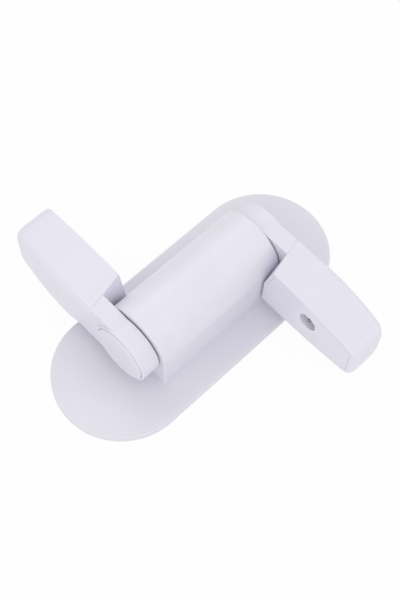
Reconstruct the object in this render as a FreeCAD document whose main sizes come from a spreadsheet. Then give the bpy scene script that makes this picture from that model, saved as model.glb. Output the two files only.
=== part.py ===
import FreeCAD, Part
import math
import os

import Sketcher

# Stick-on safety latch: a round-ended plate carries a round-backed housing across its middle, and an arm
# swings on a journal in each end wall of the housing. A push button in each arm's hub bends a spring leaf
# out of a notched ring on the arm's journal, which frees the arm to turn over the housing.
#
# Frame: millimetres, +Z up. The origin is the middle of the adhesive pad's underside. X runs along the
# barrel of the housing. The right arm is at +X and points along -Y; the left arm is the same arm turned
# half a turn about Z.

DOCUMENT = FreeCAD.newDocument("stair_gate_latch")

SIZES = {
    # plate and pad
    "plate_length": 120.0,
    "plate_width": 50.0,
    "plate_thick": 2.2,
    "plate_rim_round": 0.7,
    "pad_thick": 0.6,
    "pad_inset": 0.5,
    # housing
    "axis_height": 17.9,
    "housing_length": 54.9,
    "housing_radius": 13.6,
    "housing_wall": 1.8,
    "end_wall": 2.4,
    "housing_edge_round": 0.5,
    "boss_radius": 2.7,
    "boss_height": 7.0,
    "boss_inset": 13.45,
    "boss_sink": 0.1,
    # screws into the housing, from below
    "base_screw_radius": 1.25,
    "base_screw_length": 7.5,
    "base_screw_head_radius": 2.4,
    "base_screw_head_height": 1.2,
    # journal and hub
    "journal_radius": 7.0,
    "journal_lip": 1.05,
    "hub_gap": 0.5,
    "hub_width": 7.3,
    "hub_radius": 11.6,
    "hub_edge_round": 0.3,
    "hub_floor": 2.35,
    "hub_rim": 0.98,
    # button, stem and spring
    "button_proud": 0.7,
    "button_height": 3.35,
    "button_skirt": 1.5,
    "button_face": 1.6,
    "button_edge_round": 0.7,
    "stem_radius": 2.5,
    "stem_lip": 2.15,
    "well_wall": 1.8,
    "well_base": 2.3,
    "spring_inset": 1.0,
    "spring_wire": 0.3,
    "spring_turns": 6.0,
    # rings, clips and leaf
    "ring_thick": 3.5,
    "ring_end_play": 0.15,
    "ring_clear": 1.2,
    "key_depth": 1.1,
    "notch_inset": 0.6,
    "notch_width": 4.3,
    "notch_depth": 1.6,
    "journal_clip_thick": 0.6,
    "journal_clip_proud": 0.9,
    "journal_groove_depth": 0.6,
    "stem_clip_thick": 0.5,
    "stem_clip_proud": 1.5,
    "stem_groove_depth": 0.6,
    "clip_mouth": 3.0,
    "leaf_thick": 0.5,
    "leaf_width": 8.0,
    "leaf_foot_length": 8.7,
    "leaf_screw_place": 5.7,
    "leaf_stand_off": 0.3,
    "leaf_boss_height": 1.5,
    "leaf_screw_radius": 1.25,
    "leaf_screw_head_radius": 2.3,
    "leaf_screw_head_height": 1.3,
    "leaf_screw_bite": 2.6,
    "tooth_width": 4.0,
    "tooth_engage": 1.3,
    # arm blade, placed from the hub's two faces and its radius
    "blade_step": 9.6,
    "bulge_rise": 0.45,
    "neck_drop": 0.65,
    "tip_draw": 1.35,
    "crown_drop": 0.15,
    "swing_gap": 0.7,
    "neck_start": 20.0,
    "neck_end": 28.0,
    "arm_reach": 57.9,
    "crown_radius": 229.0,
    "crown_place": 14.7,
    "tip_round_top": 5.5,
    "tip_round_bottom": 5.4,
    "tip_corner_inner": 2.6,
    "tip_corner_outer": 5.6,
    "inner_end_lean": 1.8,
    "outer_edge_round": 2.4,
    "blade_wall": 1.1,
    "blade_outer_wall": 2.4,
    # arm cover and its screw
    "cover_thick": 1.8,
    "cover_lip": 0.9,
    "cover_screw_place": 35.6,
    "cover_screw_rise": 1.5,
    "sink_radius": 3.6,
    "sink_depth": 2.4,
    "sink_wall": 0.9,
    "cover_screw_radius": 1.2,
    "cover_screw_head_radius": 2.6,
    "cover_screw_head_height": 1.4,
    "cover_screw_length": 8.0,
    "cover_post_radius": 2.7,
    "recess_width": 0.65,
    "recess_depth": 0.8,
    # clearances
    "running_gap": 0.05,
    "button_gap": 0.12,
    "seam_gap": 0.06,
    "clip_gap": 0.05,
    "screw_gap": 0.02,
    "screw_hole_gap": 0.25,
    "key_gap": 0.04,
}


# Sizes and places that follow from the ones above, so that what fits together stays together.
DERIVED = {
    # heights
    "plate_top": "pad_thick + plate_thick",
    "leaf_seat": "plate_top + leaf_boss_height",
    "tooth_under": "axis_height + notch_floor + 0.4",
    # places along the barrel, from the housing's end outward and then inward
    "housing_end": "housing_length / 2",
    "hub_inner": "housing_end + hub_gap",
    "hub_outer": "hub_inner + hub_width",
    "recess_floor": "hub_inner + hub_floor",
    "button_outer": "hub_outer + button_proud",
    "ring_outer": "housing_end - end_wall - ring_end_play",
    "ring_inner": "ring_outer - ring_thick",
    "tooth_tip": "ring_inner + tooth_engage",
    "journal_clip_outer": "ring_inner - clip_gap",
    "journal_clip_inner": "journal_clip_outer - journal_clip_thick",
    "journal_end": "journal_clip_inner - journal_lip",
    "well_floor": "journal_end + well_base",
    "stem_clip_outer": "journal_end - clip_gap",
    "stem_clip_inner": "stem_clip_outer - stem_clip_thick",
    "stem_end": "stem_clip_inner - stem_lip",
    "leaf_face": "stem_end - leaf_stand_off",
    "leaf_foot": "leaf_face - leaf_foot_length",
    "leaf_screw_x": "leaf_face - leaf_screw_place",
    "boss_x": "housing_end - boss_inset",
    # radii, one inside the next
    "boss_y": "housing_radius - housing_wall - boss_radius + boss_sink",
    "button_radius": "hub_radius - hub_rim - button_gap",
    "well_radius": "journal_radius - well_wall",
    "spring_radius": "well_radius - spring_inset",
    "key_flat": "journal_radius - key_depth",
    "journal_clip_radius": "journal_radius + journal_clip_proud",
    "notch_floor": "journal_clip_radius + notch_inset",
    "ring_radius": "housing_radius - housing_wall - ring_clear",
    "stem_clip_radius": "stem_radius + stem_clip_proud",
    # the arm's blade
    "blade_inner": "hub_inner - blade_step",
    "blade_bulge": "hub_outer + bulge_rise",
    "neck_outer": "hub_outer - neck_drop",
    "tip_outer": "hub_outer - tip_draw",
    "crown_half": "hub_radius - crown_drop",
    "inner_end": "housing_radius + swing_gap",
    "sink_floor": "blade_inner + sink_depth",
    "post_end": "sink_floor + sink_wall",
}


def fill_sheet():
    """Writes every driving size into the sheet, one row each, and names its cell."""
    sheet = DOCUMENT.addObject("Spreadsheet::Sheet", "sizes")
    for row, (alias, number) in enumerate(SIZES.items(), start=1):
        sheet.set("A%d" % row, alias)
        sheet.set("B%d" % row, str(number))
        sheet.setAlias("B%d" % row, alias)
    DOCUMENT.recompute()
    return sheet


SHEET = fill_sheet()


def words_to_cells(text):
    """Turns the size names in an expression into references to the sheet's cells.

    A derived name becomes what it is worked out from, in brackets.
    """
    parts = []
    word = ""
    for letter in text + " ":
        if letter.isalnum() or letter == "_":
            word += letter
            continue
        if word in DERIVED:
            parts.append("(%s)" % words_to_cells(DERIVED[word]))
        else:
            parts.append("sizes." + word if word in SIZES else word)
        parts.append(letter)
        word = ""
    return "".join(parts).strip()


def value(text):
    """The number that an expression in size names comes to."""
    return float(SHEET.evalExpression(words_to_cells(text)))


def bind(thing, path, text):
    """Ties one property of an object to the sheet."""
    thing.setExpression(path, words_to_cells(text))


class Body:
    """One PartDesign body: a separate solid, with a label that names its file."""

    def __init__(self, label, turned=False):
        self.item = DOCUMENT.addObject("PartDesign::Body", label)
        self.item.Label = label
        self.turned = turned
        self.count = 0

    def finish(self):
        """Gives the body its place: as drawn, or turned half a turn about Z for the left arm's pieces."""
        turn = 180.0 if self.turned else 0.0
        self.item.Placement = FreeCAD.Placement(
            FreeCAD.Vector(0, 0, 0), FreeCAD.Rotation(FreeCAD.Vector(0, 0, 1), turn)
        )
        return self.item

    def name(self, kind):
        self.count += 1
        return "%s_%s_%d" % (self.item.Label, kind, self.count)

    def sketch(self, plane, level="0"):
        """A sketch on one of the body's own planes, lifted along that plane's normal."""
        drawing = self.item.newObject("Sketcher::SketchObject", self.name("sketch"))
        role = plane + "_Plane"
        for feature in self.item.Origin.OriginFeatures:
            if feature.Role == role:
                drawing.AttachmentSupport = [(feature, "")]
        drawing.MapMode = "FlatFace"
        drawing.AttachmentOffset = FreeCAD.Placement(
            FreeCAD.Vector(0, 0, value(level)), FreeCAD.Rotation()
        )
        bind(drawing, ".AttachmentOffset.Base.z", level)
        return Drawing(drawing)

    def pad(self, drawing, length):
        """Adds material along the sketch plane's normal."""
        feature = self.item.newObject("PartDesign::Pad", self.name("pad"))
        feature.Profile = drawing.item
        bind(feature, "Length", length)
        return self.changed(feature, grows=True)

    def cut(self, drawing, length, along=False):
        """Removes material against the sketch plane's normal, or along it."""
        feature = self.item.newObject("PartDesign::Pocket", self.name("cut"))
        feature.Profile = drawing.item
        feature.Reversed = along
        bind(feature, "Length", length)
        return self.changed(feature, grows=False)

    def turn(self, drawing, grows=True):
        """Adds or removes a full turn of the sketch about its own vertical or horizontal axis."""
        kind = "PartDesign::Revolution" if grows else "PartDesign::Groove"
        feature = self.item.newObject(kind, self.name("turn"))
        feature.Profile = drawing.item
        feature.ReferenceAxis = (drawing.item, [drawing.axis])
        feature.Angle = 360.0
        return self.changed(feature, grows)

    def round(self, radius, chooses):
        """Rounds the edges of the tip that a test picks out."""
        DOCUMENT.recompute()
        base = self.item.Tip
        names = [
            "Edge%d" % (index + 1)
            for index, edge in enumerate(base.Shape.Edges)
            if chooses(edge)
        ]
        if not names:
            raise RuntimeError("no edge to round in " + self.item.Label)
        feature = self.item.newObject("PartDesign::Fillet", self.name("round"))
        feature.Base = (base, names)
        bind(feature, "Radius", radius)
        return self.changed(feature, grows=None)

    def changed(self, feature, grows):
        """Recomputes, and checks that the feature did what it is for."""
        before = self.item.Shape.Volume if self.item.Shape and not self.item.Shape.isNull() else 0.0
        DOCUMENT.recompute()
        for thing in feature.OutList:
            if thing.isDerivedFrom("Sketcher::SketchObject") and not thing.FullyConstrained:
                raise RuntimeError("loose sketch: " + thing.Name)
        for thing in (feature, *feature.OutList):
            if "Invalid" in thing.State or "Error" in thing.State:
                raise RuntimeError("failed: " + thing.Name)
        after = self.item.Shape.Volume
        if grows is True and after <= before or grows is False and after >= before:
            raise RuntimeError("no effect: " + feature.Name)
        return feature


class Drawing:
    """A sketch whose points and radii are tied to the sheet."""

    def __init__(self, item):
        self.item = item
        self.axis = "V_Axis"

    def fix(self, kind, numbers, text):
        """One constraint of a size, bound to the sheet."""
        index = self.item.addConstraint(Sketcher.Constraint(kind, *numbers, value(text)))
        bind(self.item, "Constraints[%d]" % index, text)

    def place(self, shape, end, across, up):
        self.fix("DistanceX", (-1, 1, shape, end), across)
        self.fix("DistanceY", (-1, 1, shape, end), up)

    def circle(self, across, up, radius):
        centre = FreeCAD.Vector(value(across), value(up), 0)
        shape = self.item.addGeometry(
            Part.Circle(centre, FreeCAD.Vector(0, 0, 1), value(radius)), False
        )
        self.place(shape, 3, across, up)
        self.fix("Radius", (shape,), radius)
        return shape

    def polygon(self, corners):
        """A closed outline of straight lines through corners given as pairs of expressions."""
        points = [FreeCAD.Vector(value(a), value(b), 0) for a, b in corners]
        shapes = []
        for here, there in zip(points, points[1:] + points[:1]):
            shapes.append(self.item.addGeometry(Part.LineSegment(here, there), False))
        for shape, after in zip(shapes, shapes[1:] + shapes[:1]):
            self.item.addConstraint(Sketcher.Constraint("Coincident", shape, 2, after, 1))
        for shape, (across, up) in zip(shapes, corners):
            self.place(shape, 1, across, up)
        return shapes

    def rectangle(self, low, high):
        (left, bottom), (right, top) = low, high
        return self.polygon([(left, bottom), (right, bottom), (right, top), (left, top)])

    def line(self, here, there):
        start = FreeCAD.Vector(here[0], here[1], 0)
        stop = FreeCAD.Vector(there[0], there[1], 0)
        return self.item.addGeometry(Part.LineSegment(start, stop), False)

    def arc(self, centre, radius, start, stop):
        """An arc, anticlockwise between two angles in degrees, as a first guess for its constraints."""
        circle = Part.Circle(FreeCAD.Vector(centre[0], centre[1], 0), FreeCAD.Vector(0, 0, 1), radius)
        return self.item.addGeometry(
            Part.ArcOfCircle(circle, math.radians(start), math.radians(stop)), False
        )

    def join(self, first, first_end, second, second_end, smooth=False):
        kind = "Tangent" if smooth else "Coincident"
        self.item.addConstraint(
            Sketcher.Constraint(kind, first, first_end, second, second_end)
        )


def stadium(drawing, length, width):
    """A long outline with half-round ends, centred on the origin."""
    reach = value(length) / 2
    radius = value(width) / 2
    middle = reach - radius
    top = drawing.line((middle, radius), (-middle, radius))
    left = drawing.arc((-middle, 0), radius, 90, 270)
    bottom = drawing.line((-middle, -radius), (middle, -radius))
    right = drawing.arc((middle, 0), radius, -90, 90)
    drawing.join(top, 2, left, 1, smooth=True)
    drawing.join(left, 2, bottom, 1, smooth=True)
    drawing.join(bottom, 2, right, 1, smooth=True)
    drawing.join(right, 2, top, 1, smooth=True)
    drawing.place(left, 3, "-(%s - %s) / 2" % (length, width), "0")
    drawing.place(right, 3, "(%s - %s) / 2" % (length, width), "0")
    drawing.fix("Radius", (left,), "%s / 2" % width)
    drawing.fix("Radius", (right,), "%s / 2" % width)


def arch(drawing, radius, foot):
    """The housing's end view: straight sides up to the axis height, and a half-round back."""
    size = value(radius)
    centre = value("axis_height")
    back = drawing.arc((0, centre), size, 0, 180)
    left = drawing.line((-size, centre), (-size, value(foot)))
    floor = drawing.line((-size, value(foot)), (size, value(foot)))
    right = drawing.line((size, value(foot)), (size, centre))
    drawing.join(back, 2, left, 1)
    drawing.join(left, 2, floor, 1)
    drawing.join(floor, 2, right, 1)
    drawing.join(right, 2, back, 1)
    drawing.place(back, 3, "0", "axis_height")
    drawing.fix("Radius", (back,), radius)
    drawing.place(left, 2, "-(%s)" % radius, foot)
    drawing.place(right, 1, radius, foot)
    drawing.fix("DistanceY", (-1, 1, back, 1), "axis_height")
    drawing.fix("DistanceY", (-1, 1, back, 2), "axis_height")


def on_plane(edge, axis, place, slack=0.01):
    """True for an edge that lies wholly at one place along an axis."""
    box = edge.BoundBox
    low = {"x": box.XMin, "y": box.YMin, "z": box.ZMin}[axis]
    high = {"x": box.XMax, "y": box.YMax, "z": box.ZMax}[axis]
    return abs(low - place) < slack and abs(high - place) < slack


# ---- plate, pad, housing and their screws --------------------------------------------------------------


def screw_places():
    """The four corners of the housing's screw pattern, as pairs of expressions."""
    return [(a + "boss_x", b + "boss_y") for a in ("", "-") for b in ("", "-")]


def make_pad():
    body = Body("adhesive_pad")
    drawing = body.sketch("XY")
    stadium(drawing, "(plate_length - 2 * pad_inset)", "(plate_width - 2 * pad_inset)")
    body.pad(drawing, "pad_thick")
    return body.finish()


def make_plate():
    body = Body("base_plate")
    drawing = body.sketch("XY", "pad_thick")
    stadium(drawing, "plate_length", "plate_width")
    body.pad(drawing, "plate_thick")
    top = value("plate_top")
    body.round("plate_rim_round", lambda edge: on_plane(edge, "z", top))
    # a low post under each leaf's foot, with its blind pilot hole
    for sign in ("", "-"):
        post = body.sketch("XY", "plate_top")
        post.circle(sign + "leaf_screw_x", "0", "leaf_screw_head_radius + 0.4")
        body.pad(post, "leaf_boss_height")
    for sign in ("", "-"):
        pilot = body.sketch("XY", "leaf_seat")
        pilot.circle(sign + "leaf_screw_x", "0", "leaf_screw_radius + screw_gap")
        body.cut(pilot, "leaf_screw_bite + screw_gap")
    # countersunk holes from below for the housing's screws
    holes = body.sketch("XY", "plate_top")
    for across, up in screw_places():
        holes.circle(across, up, "base_screw_radius + screw_hole_gap")
    body.cut(holes, "plate_thick")
    sinks = body.sketch("XY", "pad_thick")
    for across, up in screw_places():
        sinks.circle(across, up, "base_screw_head_radius + screw_hole_gap")
    body.cut(sinks, "base_screw_head_height + screw_gap", along=True)
    return body.finish()


def make_housing():
    body = Body("housing")
    outside = body.sketch("YZ", "-housing_end")
    arch(outside, "housing_radius", "plate_top")
    body.pad(outside, "housing_length")
    reach = value("housing_end")
    base = value("plate_top")

    def end_edge(edge):
        at_end = on_plane(edge, "x", reach) or on_plane(edge, "x", -reach)
        return at_end and edge.BoundBox.ZMax > base + 0.01

    body.round("housing_edge_round", end_edge)
    inside = body.sketch("YZ", "housing_end - end_wall")
    arch(inside, "(housing_radius - housing_wall)", "plate_top")
    body.cut(inside, "housing_length - 2 * end_wall")
    bores = body.sketch("YZ", "housing_end")
    bores.circle("0", "axis_height", "journal_radius + running_gap")
    body.cut(bores, "housing_length")
    posts = body.sketch("XY", "plate_top")
    for across, up in screw_places():
        posts.circle(across, up, "boss_radius")
    body.pad(posts, "boss_height")
    pilots = body.sketch("XY", "plate_top")
    for across, up in screw_places():
        pilots.circle(across, up, "base_screw_radius + screw_gap")
    body.cut(pilots, "base_screw_length - plate_thick + 0.5", along=True)
    return body.finish()


def make_base_screw(body):
    """A countersunk screw, head down, drawn on its own axis."""
    drawing = body.sketch("XZ")
    head = "pad_thick"
    drawing.polygon(
        [
            ("0", head),
            ("base_screw_head_radius", head),
            ("base_screw_head_radius", head + " + 0.3"),
            ("base_screw_radius", head + " + base_screw_head_height"),
            ("base_screw_radius", head + " + base_screw_length - 0.9"),
            ("0.25", head + " + base_screw_length"),
            ("0", head + " + base_screw_length"),
        ]
    )
    body.turn(drawing)
    slot = body.sketch("XY", head)
    cross(slot, "0", "0", "base_screw_head_radius * 0.55", "0.5")
    body.cut(slot, "0.7", along=True)
    return body.finish()


def cross(drawing, across, up, arm, width):
    """A plus-shaped outline, for a cross recess."""
    a = "(%s)" % arm
    w = "(%s / 2)" % width
    steps = [(a, "-" + w), (a, w), (w, w), (w, a), ("-" + w, a), ("-" + w, w)]
    steps += [("-" + a, w), ("-" + a, "-" + w), ("-" + w, "-" + w), ("-" + w, "-" + a)]
    steps += [(w, "-" + a), (w, "-" + w)]
    drawing.polygon([("%s + %s" % (across, x), "%s + %s" % (up, y)) for x, y in steps])


def make_base_screws():
    """The four screws share one node: copies of one drawn screw, each at its corner."""
    master = make_base_screw(Body("base_screw_master"))
    copies = []
    for number, (across, up) in enumerate(screw_places(), start=1):
        copy = DOCUMENT.addObject("App::Link", "base_screw_%d" % number)
        copy.LinkedObject = master
        bind(copy, ".Placement.Base.x", across)
        bind(copy, ".Placement.Base.y", up)
        copies.append(copy)
    group = DOCUMENT.addObject("Part::Compound", "housing_screws")
    group.Label = "housing_screws"
    group.Links = copies
    return group


# ---- arm pieces ----------------------------------------------------------------------------------------


def blade_outline(drawing, inset, with_hub):
    """The arm seen from the side, Y across and Z up, drawn inward by an inset.

    The blade's top and bottom are shallow arcs, mirror images about the axis height, so the arm looks the
    same whichever way up it lies. With the hub, the outline runs round the hub's back; without it, the
    outline stops at the blade's inner end, upright up to the axis and leaning away from the barrel above,
    and at its tip it stops where the flat of the blade's inner side ends.
    """
    reach = "arm_reach" if with_hub else "(arm_reach - tip_corner_inner)"
    inward = value(inset)
    centre_z = value("axis_height")
    crown = value("crown_radius") - inward
    top_centre = (-value("crown_place"), centre_z + value("crown_half") - value("crown_radius"))
    bottom_centre = (-value("crown_place"), centre_z - value("crown_half") + value("crown_radius"))
    end = -(value(reach) - inward)
    small = value("tip_round_top") - inward
    large = value("tip_round_bottom") - inward

    def half(y):
        return math.sqrt(crown**2 - (y + value("crown_place")) ** 2) - (
            value("crown_radius") - value("crown_half")
        )

    def angle(centre, y, z):
        return math.degrees(math.atan2(z - centre[1], y - centre[0]))

    if with_hub:
        start_y = -3.2
    else:
        start_y = -(value("inner_end") + inward)
    top = drawing.arc(
        top_centre,
        crown,
        angle(top_centre, start_y, centre_z + half(start_y)),
        angle(top_centre, end + small, centre_z + half(end + small)),
    )
    tip_top = drawing.arc((end + small, centre_z + half(end + small) - small), small, 98, 180)
    tip = drawing.line(
        (end, centre_z + half(end + small) - small), (end, centre_z - half(end + large) + large)
    )
    tip_bottom = drawing.arc((end + large, centre_z - half(end + large) + large), large, 180, 262)
    bottom = drawing.arc(
        bottom_centre,
        crown,
        angle(bottom_centre, end + large, centre_z - half(end + large)),
        angle(bottom_centre, start_y, centre_z - half(start_y)),
    )
    drawing.join(top, 2, tip_top, 1, smooth=True)
    drawing.join(tip_top, 2, tip, 1, smooth=True)
    drawing.join(tip, 2, tip_bottom, 1, smooth=True)
    drawing.join(tip_bottom, 2, bottom, 1, smooth=True)
    for arc, sign in ((top, "+"), (bottom, "-")):
        other = "-" if sign == "+" else "+"
        drawing.place(arc, 3, "-crown_place", "axis_height %s crown_half %s crown_radius" % (sign, other))
        drawing.fix("Radius", (arc,), "crown_radius - %s" % inset)
    drawing.fix("Radius", (tip_top,), "tip_round_top - %s" % inset)
    drawing.fix("Radius", (tip_bottom,), "tip_round_bottom - %s" % inset)
    drawing.fix("DistanceX", (-1, 1, tip, 1), "-(%s - %s)" % (reach, inset))
    drawing.item.addConstraint(Sketcher.Constraint("Vertical", tip))
    if with_hub:
        radius = value("hub_radius")
        turn = math.degrees(math.acos(start_y / radius))
        back = drawing.arc((0, centre_z), radius, -turn, turn)
        drawing.join(bottom, 2, back, 1)
        drawing.join(back, 2, top, 1)
        drawing.place(back, 3, "0", "axis_height")
        drawing.fix("Radius", (back,), "hub_radius")
        return
    lean = value("inner_end_lean")
    upright = drawing.line((start_y, centre_z - half(start_y)), (start_y, centre_z))
    leaning = drawing.line((start_y, centre_z), (start_y - lean, centre_z + half(start_y - lean)))
    drawing.join(bottom, 2, upright, 1)
    drawing.join(upright, 2, leaning, 1)
    drawing.join(leaning, 2, top, 1)
    drawing.place(upright, 2, "-(inner_end + %s)" % inset, "axis_height")
    drawing.fix("DistanceX", (-1, 1, upright, 1), "-(inner_end + %s)" % inset)
    drawing.fix("DistanceX", (-1, 1, leaning, 2), "-(inner_end + inner_end_lean + %s)" % inset)


def plan_outline(drawing):
    """The arm seen from above, with everything outside it inside a larger rectangle, as one cut."""
    margin = "6"
    drawing.rectangle(
        ("blade_inner - " + margin, "-arm_reach - " + margin),
        ("blade_bulge + " + margin, "hub_radius + " + margin),
    )
    inner = value("blade_inner")
    reach = value("arm_reach")
    back = value("hub_radius") + 2.0
    small = value("tip_corner_inner")
    large = value("tip_corner_outer")
    tip_x = value("tip_outer")
    bulge = value("blade_bulge")
    neck = value("neck_outer")
    start = value("neck_start")
    stop = value("neck_end")
    corner_y = -(reach - large)
    # the outer side is one shallow arc from the bulge to the tip's corner
    run = -stop - corner_y
    drop = bulge - tip_x
    side_radius = (run**2 + drop**2) / (2 * drop)
    side_turn = math.degrees(math.asin(run / side_radius))
    rear = drawing.line((inner, back), (inner, -(reach - small)))
    corner = drawing.arc((inner + small, -(reach - small)), small, 180, 270)
    end = drawing.line((inner + small, -reach), (tip_x - large, -reach))
    turn = drawing.arc((tip_x - large, corner_y), large, 270, 360 - side_turn)
    side = drawing.arc((bulge - side_radius, -stop), side_radius, -side_turn, 0)
    # the neck runs into the bulge by two equal arcs, one each way
    rise = bulge - neck
    length = stop - start
    bend = (length**2 + rise**2) / (4 * rise)
    swing = math.degrees(math.asin(length / 2 / bend))
    outward = drawing.arc((bulge - bend, -stop), bend, 0, swing)
    inward = drawing.arc((neck + bend, -start), bend, 180, 180 + swing)
    face = drawing.line((neck, -start), (neck, back))
    top = drawing.line((neck, back), (inner, back))
    drawing.join(rear, 2, corner, 1, smooth=True)
    drawing.join(corner, 2, end, 1, smooth=True)
    drawing.join(end, 2, turn, 1, smooth=True)
    drawing.join(turn, 2, side, 1, smooth=True)
    drawing.join(side, 2, outward, 1, smooth=True)
    drawing.join(outward, 2, inward, 2, smooth=True)
    drawing.join(inward, 1, face, 1, smooth=True)
    drawing.join(face, 2, top, 1)
    drawing.join(top, 2, rear, 1)
    drawing.place(rear, 1, "blade_inner", "hub_radius + 2")
    drawing.fix("DistanceX", (-1, 1, rear, 2), "blade_inner")
    drawing.fix("Radius", (corner,), "tip_corner_inner")
    drawing.fix("DistanceY", (-1, 1, end, 1), "-arm_reach")
    drawing.fix("DistanceY", (-1, 1, end, 2), "-arm_reach")
    drawing.fix("Radius", (turn,), "tip_corner_outer")
    drawing.fix("DistanceX", (-1, 1, turn, 3), "tip_outer - tip_corner_outer")
    drawing.place(side, 2, "blade_bulge", "-neck_end")
    drawing.fix("DistanceY", (-1, 1, side, 3), "-neck_end")
    drawing.place(inward, 1, "neck_outer", "-neck_start")
    drawing.item.addConstraint(Sketcher.Constraint("Equal", outward, inward))
    drawing.fix("DistanceX", (-1, 1, face, 2), "neck_outer")
    drawing.fix("DistanceY", (-1, 1, face, 2), "hub_radius + 2")


def is_outer_edge(edge):
    """True for the edges between the blade's outer side and its top or underside."""
    box = edge.BoundBox
    on_side = box.XMin > value("neck_outer") - 1.0 and box.YMax < -value("neck_start") + 0.1
    level = box.ZMin > value("axis_height") + 1 or box.ZMax < value("axis_height") - 1
    return on_side and level


def make_arm_shell(side, turned):
    body = Body(side + "_arm_shell", turned)
    outline = body.sketch("YZ", "blade_inner")
    blade_outline(outline, "0", with_hub=True)
    body.pad(outline, "blade_bulge - blade_inner + 0.5")
    plan = body.sketch("XY", "axis_height + crown_half + 5")
    plan_outline(plan)
    body.cut(plan, "2 * crown_half + 10")
    # the blade's outer side runs softly into its top and underside
    body.round("outer_edge_round", is_outer_edge)
    # everything beside the housing goes, back to the blade's inner end
    step = body.sketch("YZ", "hub_inner")
    high = "axis_height + crown_half + 5"
    low = "axis_height - crown_half - 5"
    knee = "-inner_end"
    lean = "-(inner_end + inner_end_lean * (crown_half + 5) / crown_half)"
    step.polygon(
        [(knee, low), ("hub_radius + 5", low), ("hub_radius + 5", high), (lean, high), (knee, "axis_height")]
    )
    body.cut(step, "hub_inner - blade_inner + 1")
    hub = body.sketch("YZ", "hub_inner")
    hub.circle("0", "axis_height", "hub_radius")
    body.pad(hub, "hub_width")
    outer_rim = value("hub_outer")
    body.round("hub_edge_round", lambda edge: on_plane(edge, "x", outer_rim))
    journal = body.sketch("YZ", "journal_end")
    journal.circle("0", "axis_height", "journal_radius")
    body.pad(journal, "hub_inner - journal_end")
    recess = body.sketch("YZ", "hub_outer")
    recess.circle("0", "axis_height", "button_radius + button_gap")
    body.cut(recess, "hub_width - hub_floor")
    well = body.sketch("YZ", "recess_floor")
    well.circle("0", "axis_height", "well_radius")
    body.cut(well, "recess_floor - well_floor")
    bore = body.sketch("YZ", "well_floor")
    bore.circle("0", "axis_height", "stem_radius + running_gap")
    body.cut(bore, "well_floor - journal_end")
    # a flat on the journal's inner stretch keys the ring to it
    flat = body.sketch("YZ", "ring_outer")
    flat.rectangle(
        ("-journal_radius - 1", "axis_height + key_flat"),
        ("journal_radius + 1", "axis_height + journal_radius + 1"),
    )
    body.cut(flat, "ring_outer - journal_end")
    # a groove for the clip that keeps the ring on
    groove = body.sketch("YZ", "journal_clip_outer + clip_gap / 2")
    groove.circle("0", "axis_height", "journal_radius + 1")
    groove.circle("0", "axis_height", "journal_radius - journal_groove_depth")
    body.cut(groove, "journal_clip_thick + clip_gap")
    # the blade is hollow, open on the side that faces the other arm, with a rebate for its cover
    rebate = body.sketch("YZ", "blade_inner")
    blade_outline(rebate, "cover_lip", with_hub=False)
    body.cut(rebate, "cover_thick", along=True)
    hollow = body.sketch("YZ", "blade_inner + cover_thick")
    blade_outline(hollow, "(cover_lip + blade_wall)", with_hub=False)
    body.cut(hollow, "neck_outer - blade_outer_wall - blade_inner - cover_thick", along=True)
    post = body.sketch("YZ", "post_end")
    post.circle("-cover_screw_place", "axis_height + cover_screw_rise", "cover_post_radius")
    body.pad(post, "neck_outer - blade_outer_wall + 0.5 - post_end")
    pilot = body.sketch("YZ", "post_end")
    pilot.circle(
        "-cover_screw_place", "axis_height + cover_screw_rise", "cover_screw_radius + screw_gap"
    )
    body.cut(pilot, "cover_screw_length - sink_wall + 0.5", along=True)
    return body.finish()


def make_arm_cover(side, turned):
    body = Body(side + "_arm_cover", turned)
    plate = body.sketch("YZ", "blade_inner")
    blade_outline(plate, "(cover_lip + seam_gap)", with_hub=False)
    body.pad(plate, "cover_thick")
    place = ("-cover_screw_place", "axis_height + cover_screw_rise")
    cup = body.sketch("YZ", "blade_inner + cover_thick - 0.3")
    cup.circle(*place, "sink_radius + sink_wall")
    body.pad(cup, "post_end - blade_inner - cover_thick + 0.3")
    sink = body.sketch("YZ", "blade_inner")
    sink.circle(*place, "sink_radius")
    body.cut(sink, "sink_depth", along=True)
    hole = body.sketch("YZ", "sink_floor")
    hole.circle(*place, "cover_screw_radius + screw_hole_gap")
    body.cut(hole, "sink_wall", along=True)
    return body.finish()


def make_cover_screw(side, turned):
    """A pan-head screw with a cross recess, its head down in the cover's sink."""
    body = Body(side + "_cover_screw", turned)
    place = ("-cover_screw_place", "axis_height + cover_screw_rise")
    head = body.sketch("YZ", "sink_floor - cover_screw_head_height")
    head.circle(*place, "cover_screw_head_radius")
    body.pad(head, "cover_screw_head_height")
    top = value("sink_floor - cover_screw_head_height")
    body.round("cover_screw_head_height * 0.55", lambda edge: on_plane(edge, "x", top))
    shank = body.sketch("YZ", "sink_floor")
    shank.circle(*place, "cover_screw_radius")
    body.pad(shank, "cover_screw_length")
    recess = body.sketch("YZ", "sink_floor - cover_screw_head_height")
    cross(recess, *place, "cover_screw_head_radius * 0.55", "recess_width")
    body.cut(recess, "recess_depth", along=True)
    return body.finish()


def make_button(side, turned):
    body = Body(side + "_button", turned)
    cap = body.sketch("YZ", "button_outer - button_height")
    cap.circle("0", "axis_height", "button_radius")
    body.pad(cap, "button_height")
    face = value("button_outer")
    body.round("button_edge_round", lambda edge: on_plane(edge, "x", face))
    inside = body.sketch("YZ", "button_outer - button_height")
    inside.circle("0", "axis_height", "button_radius - button_skirt")
    body.cut(inside, "button_height - button_face", along=True)
    stem = body.sketch("YZ", "stem_end")
    stem.circle("0", "axis_height", "stem_radius")
    body.pad(stem, "button_outer - button_face - stem_end")
    groove = body.sketch("YZ", "stem_clip_outer + clip_gap / 2")
    groove.circle("0", "axis_height", "stem_radius + 1")
    groove.circle("0", "axis_height", "stem_radius - stem_groove_depth")
    body.cut(groove, "stem_clip_thick + clip_gap")
    return body.finish()


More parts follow.
